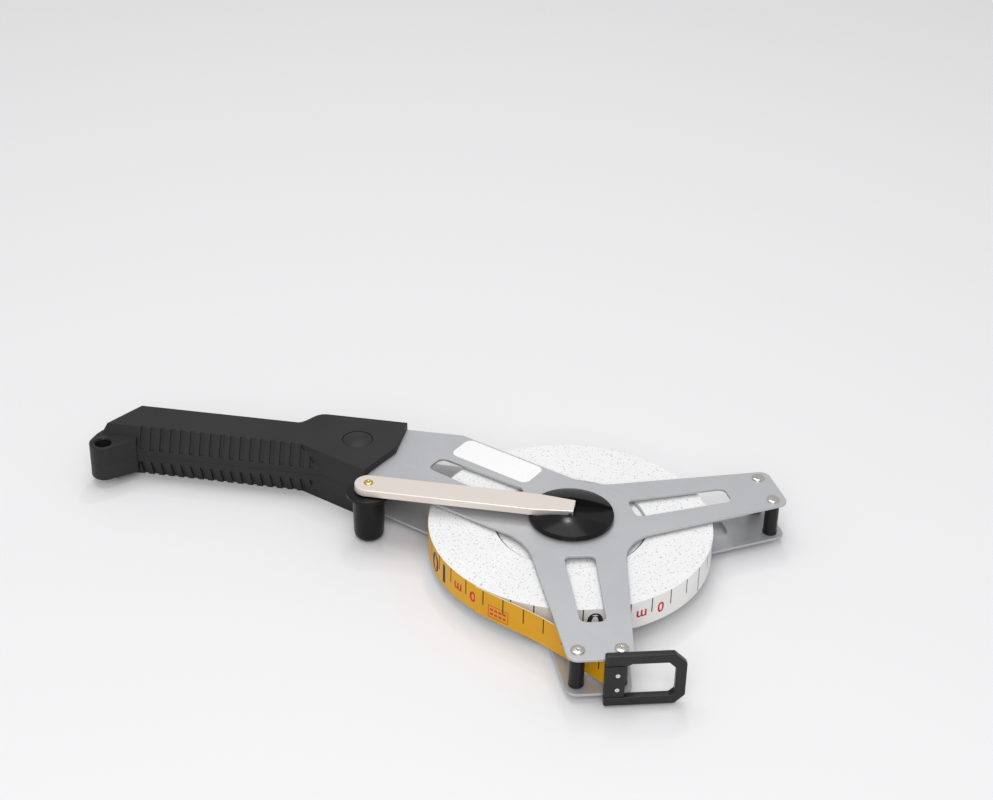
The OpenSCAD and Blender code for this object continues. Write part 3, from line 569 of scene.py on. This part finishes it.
def curvedTape(inside, thick, start, stop, steps):
    tall = coilHigh - coilLow - 2 * coil["layerInset"]
    bm = bmesh.new()
    bmesh.ops.create_grid(bm, x_segments=1, y_segments=1, size=0.5)
    bmesh.ops.rotate(bm, matrix=Matrix.Rotation(math.pi / 2, 3, "X"), verts=bm.verts)
    bmesh.ops.scale(bm, vec=(thick * mm, 1, tall * mm), verts=bm.verts)
    bmesh.ops.translate(bm, vec=((inside + thick / 2) * mm, 0, tapeMiddle), verts=bm.verts)
    bmesh.ops.rotate(bm, matrix=Matrix.Rotation(math.radians(start), 3, "Z"), verts=bm.verts)
    bmesh.ops.spin(bm, geom=whole(bm), cent=(0, 0, 0), axis=(0, 0, 1), angle=math.radians(stop - start),
                   steps=steps)
    markEdges(bm)
    return bm


yellowTape = [materials["tapeYellow"], materials["tapeEdge"]]
bm = curvedTape(coilWall - coil["layerSunk"], coil["layer"] + coil["layerSunk"], coil["yellowFrom"],
                tangent, coil["yellowSteps"])
finishPiece("tape_outer_turn", bm, "drum", yellowTape, "tape_yellow", smooth=50)
finishPiece("tape_free_end", straightTape(leadInner, tape["thick"], leadLength), "tape_end", yellowTape,
            "tape_yellow", ["tape_lead"], smooth=50)
run = [v.co.xy for v in nodes["tape_run"].data.vertices]
runInner, runOuter = min(p.dot(away) for p in run) / mm, max(p.dot(away) for p in run) / mm
runLength = max(p.dot(along) for p in run) / mm
finishPiece("tape_under_run", straightTape(runInner, runOuter - runInner, runLength), "frame", yellowTape,
            "tape_yellow", ["tape_run"], smooth=50)

spool = {"rim": 31.7, "sunk": 0.9, "rimDeep": 3.0, "body": 32.5, "hub": 16.0, "hubRise": 0.4, "boss": 12.0,
         "flange": 40.0, "bore": 5.1, "pocket": (14.5, 28.0, 8.0), "gap": 0.02, "ease": 0.35}

spoolLow, spoolHigh = level("spool")
rim, body, flange, boss, bore = (spool[k] for k in ("rim", "body", "flange", "boss", "bore"))
pocketIn, pocketOut, pocketDeep = spool["pocket"]
hub, hubTop = spool["hub"], coilHigh + spool["hubRise"]
rimTop, rimFoot = coilHigh - spool["sunk"], coilHigh - spool["rimDeep"]
flangeTop = coilLow - spool["gap"]
bm = bmesh.new()
spinProfile(bm, eased([(bore, spoolLow), (pocketIn, spoolLow), (pocketIn, spoolLow + pocketDeep),
                       (pocketOut, spoolLow + pocketDeep), (pocketOut, spoolLow), (flange, spoolLow),
                       (flange, flangeTop), (body, flangeTop), (body, rimFoot), (rim, rimFoot), (rim, rimTop),
                       (hub, rimTop), (hub, hubTop), (boss, hubTop), (boss, spoolHigh), (bore, spoolHigh)],
                      spool["ease"]), (0, 0), 160, closed=True)
for face in bm.faces:
    onTop = all(abs(v.co.z / mm - rimTop) < 0.4 for v in face.verts)
    face.material_index = 1 if onTop else 0
finishPiece("spool_dressed", bm, "drum", [materials["spool"], materials["woundEdge"]], "spool_white",
            ["spool"], smooth=38)
print("stage: tape and spool")

# Printed scale: ticks hang from the tape's upper edge; a character's pair is its height and how far its
# middle is below that edge
marks = {"lift": 0.03, "pitch": 10.0, "tick": 0.5, "tickLong": 7.3, "tickFull": 12.2, "tickTop": 0.15,
         "whiteFrom": 4.1, "whiteTicks": (-10, 16), "yellowShift": 0.43, "yellowTicks": (1, 11),
         "stripFrom": 4.3, "stripTicks": 7, "digit": (9.0, 6.6), "digitBold": 0.020, "digitWide": 1.12,
         "redDigit": (5.0, 6.6), "redLetter": (3.4, 6.3), "redBold": 0.022,
         "blackOnWhite": ((-38.9, "2"), (-47.9, "0")), "blackOnYellow": ((-116.8, "1"), (-125.2, "0")),
         "redOnWhite": ((-28.9, "m"), (-19.9, "0")), "redOnYellow": ((-106.8, "m"), (-98.3, "0")),
         "boxAt": (12, 8.6), "boxHalf": (5.0, 3.0), "boxLine": 0.3, "dashes": (-3.2, -1.1, 1.0, 3.1),
         "dash": (1.5, 1.0), "dashRow": 1.1, "longEdge": 2.0, "cuts": 5}


# Characters and bars are added flat, x along the tape and y up it, and return their new corners
def addGlyph(bm, text, size, bold=0.0, wide=1.0):
    curve = bpy.data.curves.new("glyph", "FONT")
    curve.body, curve.size, curve.offset = text, 1.0, bold
    old = set(bm.verts)
    bm.from_mesh(curveMesh(curve))
    made = [v for v in bm.verts if v not in old]
    low = Vector([min(v.co[i] for v in made) for i in (0, 1)])
    high = Vector([max(v.co[i] for v in made) for i in (0, 1)])
    middle, scale = (low + high) / 2, size / (high.y - low.y)
    bmesh.ops.translate(bm, vec=(-middle.x, -middle.y, 0), verts=made)
    bmesh.ops.scale(bm, vec=(-scale * wide, -scale, 1), verts=made)  # upside down, read from the other side
    return made


def addBar(bm, width, low, high, x=0.0):
    made = bmesh.ops.create_grid(bm, x_segments=1, y_segments=3, size=0.5)["verts"]
    bmesh.ops.scale(bm, vec=(width, high - low, 1), verts=made)
    bmesh.ops.translate(bm, vec=(x, (low + high) / 2, 0), verts=made)
    return made


def addTick(bm, deep=marks["tickLong"]):
    return addBar(bm, marks["tick"], -deep, -marks["tickTop"])


def layOnDrum(made, angle, height, radius):
    for v in made:
        at = polar(radius + marks["lift"], angle + math.degrees(v.co.x / radius))
        v.co = (at.x * mm, at.y * mm, (height + v.co.y) * mm)


def layOnStrip(made, position, height):
    for v in made:
        at = along * (position + v.co.x) + away * (leadInner + tape["thick"] + marks["lift"])
        v.co = (at.x * mm, at.y * mm, (height + v.co.y) * mm)


# Turns every mark's face away from the drum's axis
def faceOutwards(bm):
    bm.normal_update()
    bmesh.ops.reverse_faces(bm, faces=[f for f in bm.faces if f.normal.dot(f.calc_center_median()) < 0])


drumBlack, drumRed, stripBlack, stripRed = (bmesh.new() for _ in range(4))
perTick = math.degrees(marks["pitch"] / coil["outer"])
for k in range(*marks["whiteTicks"]):
    deep = marks["tickFull"] if k % 10 == 0 else marks["tickLong"]
    layOnDrum(addTick(drumBlack, deep), marks["whiteFrom"] + perTick * k, coilHigh, coilWall)
for k in range(*marks["yellowTicks"]):
    layOnDrum(addTick(drumBlack), tangent - perTick * (k - marks["yellowShift"]), coilHigh, coil["outer"])
size, drop = marks["digit"]
for place, wall in (("blackOnWhite", coilWall), ("blackOnYellow", coil["outer"])):
    for angle, text in marks[place]:
        made = addGlyph(drumBlack, text, size, marks["digitBold"], marks["digitWide"])
        layOnDrum(made, angle, coilHigh - drop, wall)
for place, wall in (("redOnWhite", coilWall), ("redOnYellow", coil["outer"])):
    for angle, text in marks[place]:
        size, drop = marks["redLetter"] if text == "m" else marks["redDigit"]
        layOnDrum(addGlyph(drumRed, text, size, marks["redBold"]), angle, coilHigh - drop, wall)
for k in range(marks["stripTicks"]):
    layOnStrip(addTick(stripBlack), marks["stripFrom"] + marks["pitch"] * k, coilHigh)
# A box with two rows of dashes
boxX, boxY = marks["boxAt"][0], coilHigh - marks["boxAt"][1]
halfW, halfH = marks["boxHalf"]
line, row = marks["boxLine"], marks["dashRow"]
dashLong, dashTall = marks["dash"]
for edge in (-1, 1):
    layOnStrip(addBar(stripRed, line, -halfH, halfH, edge * (halfW - line / 2)), boxX, boxY)
    middle = edge * (halfH - line / 2)
    layOnStrip(addBar(stripRed, 2 * (halfW - line), middle - line / 2, middle + line / 2), boxX, boxY)
    low, high = edge * row - dashTall / 2, edge * row + dashTall / 2
    for x in marks["dashes"]:
        layOnStrip(addBar(stripRed, dashLong, low, high, x), boxX, boxY)
# The marks bend with the tape, so long edges are divided first
for bm in (stripBlack, stripRed):
    longEdges = [e for e in bm.edges if e.calc_length() > marks["longEdge"] * mm]
    bmesh.ops.subdivide_edges(bm, edges=longEdges, cuts=marks["cuts"], use_grid_fill=True)
    slacken(bm)
for name, bm, ride, ink, slotName in (
        ("marks_drum_black", drumBlack, "drum", "inkBlack", "tape_white"),
        ("marks_drum_red", drumRed, "drum", "inkRed", "tape_white"),
        ("marks_strip_black", stripBlack, "tape_end", "inkBlack", "tape_yellow"),
        ("marks_strip_red", stripRed, "tape_end", "inkRed", "tape_yellow")):
    faceOutwards(bm)
    finishPiece(name, bm, ride, materials[ink], slotName, turnOut=False)
print("stage: printed scale")

turret = {"radius": 18.2, "side": 2.2, "edge": 0.4, "channel": 6.55, "floor": 1.5, "crown": 0.4,
          "weld": 0.05, "lip": 0.1, "steps": 14}

turretLow, turretHigh = level("turret")
turretHigh += turret["crown"]
shoulder = turretLow + turret["side"]
domeRise = turretHigh - shoulder
domeRadius = (turret["radius"] ** 2 + domeRise ** 2) / (2 * domeRise)
dome, steps = [], turret["steps"]
for k in range(steps + 1):
    r = (turret["radius"] - turret["edge"] * k / steps) * (1 - k / steps)
    dome.append((r, turretHigh - domeRadius + math.sqrt(domeRadius ** 2 - r * r)))
profile = eased([(0, turretLow), (turret["radius"], turretLow), (turret["radius"], shoulder), dome[1]],
                turret["edge"])[:-1] + dome[1:]
gripTurn = Matrix.Rotation(math.radians(layout["gripAngle"]), 4, "Z")
channelSide = gripTurn @ Vector((0, 1, 0))
channelHalf, channelFloor = turret["channel"] * mm, (turretLow + turret["floor"]) * mm


def onChannelSide(v, within):
    return abs(abs(v.co.dot(channelSide)) - channelHalf) < within


# The crank's channel: two domed sides and a low middle part, joined where they meet
bm = bmesh.new()
for sides in ((1,), (-1,), (1, -1)):
    part, isMiddle = bmesh.new(), len(sides) == 2
    spinProfile(part, profile, (0, 0), 128)
    for side in sides:
        cutAway(part, channelSide * side * channelHalf, channelSide * side * (1 if isMiddle else -1))
    if isMiddle:
        cutAway(part, Vector((0, 0, channelFloor)), Vector((0, 0, 1)))
    else:
        bmesh.ops.bisect_plane(part, geom=whole(part), dist=1e-7, plane_co=(0, 0, channelFloor),
                               plane_no=(0, 0, 1))
    inner = [f for f in part.faces if all(onChannelSide(v, 1e-6) for v in f.verts)
             and f.calc_center_median().z < channelFloor]
    bmesh.ops.delete(part, geom=inner, context="FACES_ONLY")
    holder = bpy.data.meshes.new("part")
    part.to_mesh(holder)
    part.free()
    bm.from_mesh(holder)
    bpy.data.meshes.remove(holder)
bmesh.ops.remove_doubles(bm, verts=bm.verts, dist=turret["weld"] * mm)
bmesh.ops.recalc_face_normals(bm, faces=bm.faces)
lips = [e for e in sharpEdges(bm)
        if all(onChannelSide(v, 1e-5) and v.co.z > channelFloor + 1e-5 for v in e.verts)]
easeEdges(bm, lips, turret["lip"], 2)
dress("turret", bm, "drum", "hub", "hub_black", smooth=30)
print("stage: turret")

crank = {"reach": 87.8, "width": 12.1, "neck": 7.6, "tail": 1.2, "sheet": 1.0, "bend": 0.4,
         "shoulder": 15.2, "shoulderRadius": 30, "cut": 0.1, "spare": 3.0, "tipFlat": 0.01}

crankLow, crankHigh = level("crank_arm")
halfWide, halfNeck = crank["width"] / 2, crank["neck"] / 2
tail, tip = -crank["tail"] - crank["spare"], crank["reach"] + halfWide
tipRadius = halfWide - crank["tipFlat"]
outline = roundedPath([(tail, -halfNeck, 0), (crank["shoulder"], -halfWide, crank["shoulderRadius"]),
                       (tip, -halfWide, tipRadius), (tip, halfWide, tipRadius),
                       (crank["shoulder"], halfWide, crank["shoulderRadius"]), (tail, halfNeck, 0)], step=6)
bm = bmesh.new()
top = bm.faces.new([bm.verts.new((p.x * mm, p.y * mm, crankHigh * mm)) for p in outline])
extrudeUp(bm, [top], crankLow - crankHigh)
bmesh.ops.recalc_face_normals(bm, faces=bm.faces)
under = [f for f in bm.faces if f.normal.z < -0.9]
bmesh.ops.inset_region(bm, faces=under, thickness=crank["sheet"] * mm, use_even_offset=True)
extrudeUp(bm, under, crankHigh - crankLow - crank["sheet"])
bmesh.ops.delete(bm, geom=[f for f in under if f.is_valid], context="FACES")
bmesh.ops.recalc_face_normals(bm, faces=bm.faces)
easeEdges(bm, [e for e in sharpEdges(bm) if all(v.co.z > (crankHigh - 0.01) * mm for v in e.verts)],
          crank["bend"], 5)
easeEdges(bm, [e for e in sharpEdges(bm) if all(v.co.z < (crankLow + 0.01) * mm for v in e.verts)],
          crank["cut"], 2)
# The tail is cut off square, which leaves the folded sheet open at its end
cutAway(bm, (-crank["tail"] * mm, 0, 0), (-1, 0, 0))
finishPiece("crank_dressed", bm, "crank", materials["crank"], "crank_nickel", ["crank_arm"], smooth=35,
            matrix=gripTurn)

# The side's steps are (inset, height over the crank), the crown's (radius, depth below the top)
knobPin = {"radius": 1.6, "head": 2.08, "side": ((0, 0), (0, 0.18), (0.23, 0.45)),
           "crown": ((1.35, 0.06), (0.8, 0), (0.5, 0.08), (0, 0.16))}

knobAt = polar(crank["reach"], layout["gripAngle"])
pinLow, pinHigh = level("knob_pin")
profile = [(0, pinLow), (knobPin["radius"], pinLow), (knobPin["radius"], crankHigh)]
profile += [(knobPin["head"] - inset, crankHigh + rise) for inset, rise in knobPin["side"]]
profile += [(x, pinHigh - drop) for x, drop in knobPin["crown"]]
bm = bmesh.new()
spinProfile(bm, profile, knobAt, 64)
dress("knob_pin", bm, "crank", "brass", "pin_brass", smooth=45)

# Steps are (inset, depth) at the collar's edge, (outset, depth) under it and (inset, height) at the butt
knob = {"radius": 7.0, "collar": 9.8, "collarThick": 2.0, "neck": 4.4, "gap": 0.7, "bore": 1.65,
        "collarEdge": ((0.7, 0), (0.15, 0.35)), "root": ((0.9, 0), (0.15, 0.5), (0, 1.4)),
        "butt": ((0.25, 9), (0.4, 3.2), (0.75, 1.5), (1.6, 0.4), (2.6, 0)), "recess": (3.7, 1.8)}

knobLow, knobHigh = level("knob")
collarTop = crankLow - knob["gap"]
collarFoot = collarTop - knob["collarThick"]
r, collar, neck, bore = (knob[k] for k in ("radius", "collar", "neck", "bore"))
recess, recessTop = knob["recess"][0], knobLow + knob["recess"][1]
profile = [(bore, knobHigh), (neck, knobHigh), (neck, collarTop)]
profile += [(collar - inset, collarTop - drop) for inset, drop in knob["collarEdge"]]
profile += [(collar, collarTop - knob["collarThick"] / 2)]
profile += [(collar - inset, collarFoot + rise) for inset, rise in reversed(knob["collarEdge"])]
profile += [(r + outset, collarFoot - drop) for outset, drop in knob["root"]]
profile += [(r - inset, knobLow + rise) for inset, rise in knob["butt"]]
profile += [(recess, knobLow), (recess, recessTop), (bore, recessTop)]
bm = bmesh.new()
spinProfile(bm, profile, knobAt, 96, closed=True)
dress("knob", bm, "knob", "knob", "knob_black", smooth=35)

plug = {"radius": 3.58, "dish": (2.6, 2.9, 0.15), "ease": 0.2}

low, high = level("knob_plug")
dishFloor, dishRim, dishDeep = plug["dish"]
bm = bmesh.new()
profile = [(0, low + dishDeep), (dishFloor, low + dishDeep), (dishRim, low), (plug["radius"], low),
           (plug["radius"], high), (0, high)]
spinProfile(bm, eased(profile, plug["ease"]), knobAt, 64)
dress("knob_plug", bm, "knob", "knob", "knob_black")
print("stage: crank and knob")

grip = {"edge": 0.45, "fineEdge": 0.12, "cornerTurn": 24, "shortEdge": 0.5, "topHalf": 8.7,
        "ribsFrom": 108.0, "ribsTo": 199.5, "ribMargin": 0.6, "capNear": 7.5, "capReach": 101.0,
        "capRadius": 6.62, "capDome": 19.0, "capRings": (6.52, 5.6, 4.4, 3.2, 2.0, 1.0, 0), "capSide": 0.15,
        "capEase": 0.3}

capAt = gripPoint(grip["capReach"], layout["gripOffset"])


# Outer corners are rounded; ribs, joint lines and the cap's recess only lose their sharpness
def easeGrip(bm, parting):
    toGrip = Matrix.Rotation(-math.radians(layout["gripAngle"]), 2)
    ribSide = layout["gripOffset"] + grip["topHalf"] - grip["ribMargin"]

    def isFine(edge):
        for v in edge.verts:
            at = toGrip @ v.co.xy / mm
            ribbed = grip["ribsFrom"] < at.x < grip["ribsTo"] and at.y > ribSide
            nearCap = (v.co.xy / mm - capAt).length < grip["capNear"]
            if ribbed or nearCap or abs(v.co.z / mm - parting) < 0.05:
                return True
        return False

    def corners(fine):
        return [e for e in bm.edges if len(e.link_faces) == 2 and e.is_convex
                and e.calc_face_angle(0) > math.radians(grip["cornerTurn"]) and isFine(e) == fine]

    easeEdges(bm, corners(False), grip["edge"], 5)
    shortest = grip["shortEdge"] * mm  # a shorter edge nearby would make the bevel spike
    fineEdges = [e for e in corners(True)
                 if all(near.calc_length() > shortest for v in e.verts for near in v.link_edges)]
    easeEdges(bm, fineEdges, grip["fineEdge"], 2)


parting = level("handle_upper")[0]
for name in ("handle_upper", "handle_lower"):
    bm = fromFrame(name)
    easeGrip(bm, parting)
    dress(name, bm, "frame", "grip", "grip_black", smooth=21)
low, high = level("bolt_cap_upper")
r, sphere = grip["capRadius"], grip["capDome"]
dome = [(x, high - sphere + math.sqrt(sphere * sphere - x * x)) for x in grip["capRings"]]
bm = bmesh.new()
spinProfile(bm, [(0, low), (r, low), (r, dome[0][1] - grip["capSide"])] + dome, capAt, 72)
dress("bolt_cap_upper", bm, "frame", "grip", "grip_black")
low, high = level("bolt_cap_lower")
bm = bmesh.new()
spinProfile(bm, eased([(0, low), (r, low), (r, high), (0, high)], grip["capEase"]), capAt, 72)
dress("bolt_cap_lower", bm, "frame", "grip", "grip_black")
print("stage: handle")

label = {"x": (-70.0, -29.5), "y": (9.7, 24.5), "corner": 3.5, "edge": 0.04}

low, high = level("label")
(left, right), (front, back) = label["x"], label["y"]
corners = [(x, y, label["corner"]) for x, y in ((left, front), (right, front), (right, back), (left, back))]
bm = cutSheet("label", roundedPath(corners, step=6), [], high - low, label["edge"])
dress("label", bm, "frame", "label", "label_white", smooth=40,
      matrix=Matrix.Translation((0, 0, (low + high) / 2 * mm)))

# Cuts are how much its corners are cut off, low and high; the ramps lead from the slot to the opening
ring = {"bar": 4.2, "length": 32.0, "thick": 3.2, "corner": 1.2, "edge": 0.55, "cuts": (4, 5),
        "innerCuts": (2, 3), "heel": 0.9, "slotCorner": 0.5, "slotGap": 0.3, "ramp": (0.5, 1.7),
        "clampGap": 0.8, "clampCorner": 0.8, "clampEdge": 0.4}

# Ring and clamp are drawn across the arm's end (x) and up (y), and swung into place about the hinge
outAxis, acrossAxis = Vector((cosArm, -sinArm, 0)), Vector((sinArm, cosArm, 0))
hinge = sum(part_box("ring_pin"), Vector()) / 2
ringLow, ringHigh = level("end_ring")
clampLow, clampHigh = level("tape_clamp")
clampFar = max((v.co - hinge).dot(acrossAxis) for v in nodes["tape_clamp"].data.vertices) / mm
bar, halfT, tall, c = ring["bar"], ring["thick"] / 2, ringHigh - ringLow, ring["corner"]
far, near = ring["length"] - halfT, clampFar + ring["clampGap"]
rampIn, rampOut = (near + x for x in ring["ramp"])
slotLow, slotHigh = clampLow - ring["slotGap"] - ringLow, clampHigh + ring["slotGap"] - ringLow
(lowCut, highCut), (innerLow, innerHigh) = ring["cuts"], ring["innerCuts"]
heel, slotCorner = ring["heel"], ring["slotCorner"]
ringPath = roundedPath([
    (-halfT, 0, heel), (far - lowCut, 0, c), (far, lowCut, c), (far, tall - highCut, c),
    (far - highCut, tall, c), (-halfT, tall, heel), (-halfT, slotHigh, slotCorner), (rampIn, slotHigh, 0),
    (rampOut, tall - bar, 0), (far - bar - innerHigh, tall - bar, c), (far - bar, tall - bar - innerHigh, c),
    (far - bar, bar + innerLow, c), (far - bar - innerLow, bar, c), (rampOut, bar, 0), (rampIn, slotLow, 0),
    (-halfT, slotLow, slotCorner)], step=12)
upright = Matrix((acrossAxis, Vector((0, 0, 1)), outAxis)).transposed().to_4x4()
bm = cutSheet("ring", ringPath, [], ring["thick"], ring["edge"])
dress("end_ring", bm, "ring", "ring", "ring_black", smooth=40,
      matrix=Matrix.Translation((hinge.x, hinge.y, ringLow * mm)) @ upright)
clampPath = roundedPath([(x, y, ring["clampCorner"]) for x, y in (
    (-halfT, clampLow), (clampFar, clampLow), (clampFar, clampHigh), (-halfT, clampHigh))], step=12)
bm = cutSheet("clamp", clampPath, [], ring["thick"], ring["clampEdge"])
dress("tape_clamp", bm, "tape_end", "ring", "ring_black", smooth=40,
      matrix=Matrix.Translation((hinge.x, hinge.y, 0)) @ upright)

rearCap = {"radius": 16.0, "rim": 11.6, "dish": 0.3, "slope": 0.6, "chamfer": 1.0, "socket": (8.0, 1.8),
           "ease": 0.4}

low, high = level("rear_cap")
r, rim, cut, dishTop = rearCap["radius"], rearCap["rim"], rearCap["chamfer"], low + rearCap["dish"]
socket, socketTop = rearCap["socket"][0], high - rearCap["socket"][1]
bm = bmesh.new()
spinProfile(bm, eased([(0, dishTop), (rim - rearCap["slope"], dishTop), (rim, low), (r - cut, low),
                       (r, low + cut), (r, high), (socket, high), (socket, socketTop), (0, socketTop)],
                      rearCap["ease"]), (0, 0), 96)
dress("rear_cap", bm, "frame", "hub", "hub_black")
print("stage: label, ring and cap")

# Frame nodes that keep their shape, by finish, with their edges eased
kept = {"edge": 0.12, "segments": 2,
        "finishes": {"steel": ["axle", "axle_washer", "axle_nut", "handle_bolt", "handle_nut", "dowel_pins",
                               "handle_screws", "tape_anchor", "turret_screws", "knob_pin_washer",
                               "ring_pin"],
                     "hub": ["crank_pin"], "nickel": ["clamp_rivets"], "spool": ["thrust_washer", "top_bush"],
                     "grip": ["handle_core"]}}
for finish, names in kept["finishes"].items():
    for node in (nodes[name] for name in names):
        if not node.material_slots:
            node.data.materials.append(materials[finish])
        for holder in node.material_slots:
            holder.material = materials[finish]
        ease = node.modifiers.new("ease", "BEVEL")
        ease.width, ease.segments = kept["edge"] * mm, kept["segments"]
        ease.limit_method, ease.angle_limit = "ANGLE", sharpAngle
print("stage: kept nodes")

stage = {"floor": 3.0, "colour": (0.76, 0.76, 0.77), "rough": 0.7, "sky": 0.52}
lights = {
    "overhead": {"at": (-0.25, 0.1, 1.5), "aim": (0, -0.02, 0), "size": 1.1, "power": 9},
    "front": {"at": (0.55, -0.95, 0.95), "aim": (0, -0.02, 0), "size": 0.9, "power": 10},
    "spark": {"at": (-0.38, 0.54, 1.03), "aim": (0, 0, 0), "size": 0.03, "power": 0.8},
}
bm = bmesh.new()
bmesh.ops.create_grid(bm, x_segments=8, y_segments=8, size=stage["floor"])
mesh = bpy.data.meshes.new("floor")
bm.to_mesh(mesh)
bm.free()
floorPiece = bpy.data.objects.new("floor", mesh)
bpy.context.collection.objects.link(floorPiece)
pale = bpy.data.materials.new("floor")
pale.use_nodes = True
shader = pale.node_tree.nodes["Principled BSDF"]
shader.inputs["Base Color"].default_value = stage["colour"] + (1,)
shader.inputs["Roughness"].default_value = stage["rough"]
mesh.materials.append(pale)
world = bpy.data.worlds.new("studio")
world.use_nodes = True
sky = world.node_tree.nodes["Background"]
sky.inputs["Color"].default_value = (1, 1, 1, 1)
sky.inputs["Strength"].default_value = stage["sky"]
bpy.context.scene.world = world
for name, light in lights.items():
    lamp = bpy.data.objects.new(name, bpy.data.lights.new(name, "AREA"))
    lamp.data.size, lamp.data.energy = light["size"], light["power"]
    lamp.location = light["at"]
    lamp.rotation_euler = (Vector(light["aim"]) - lamp.location).to_track_quat("-Z", "Y").to_euler()
    bpy.context.collection.objects.link(lamp)
print("stage: floor and light")
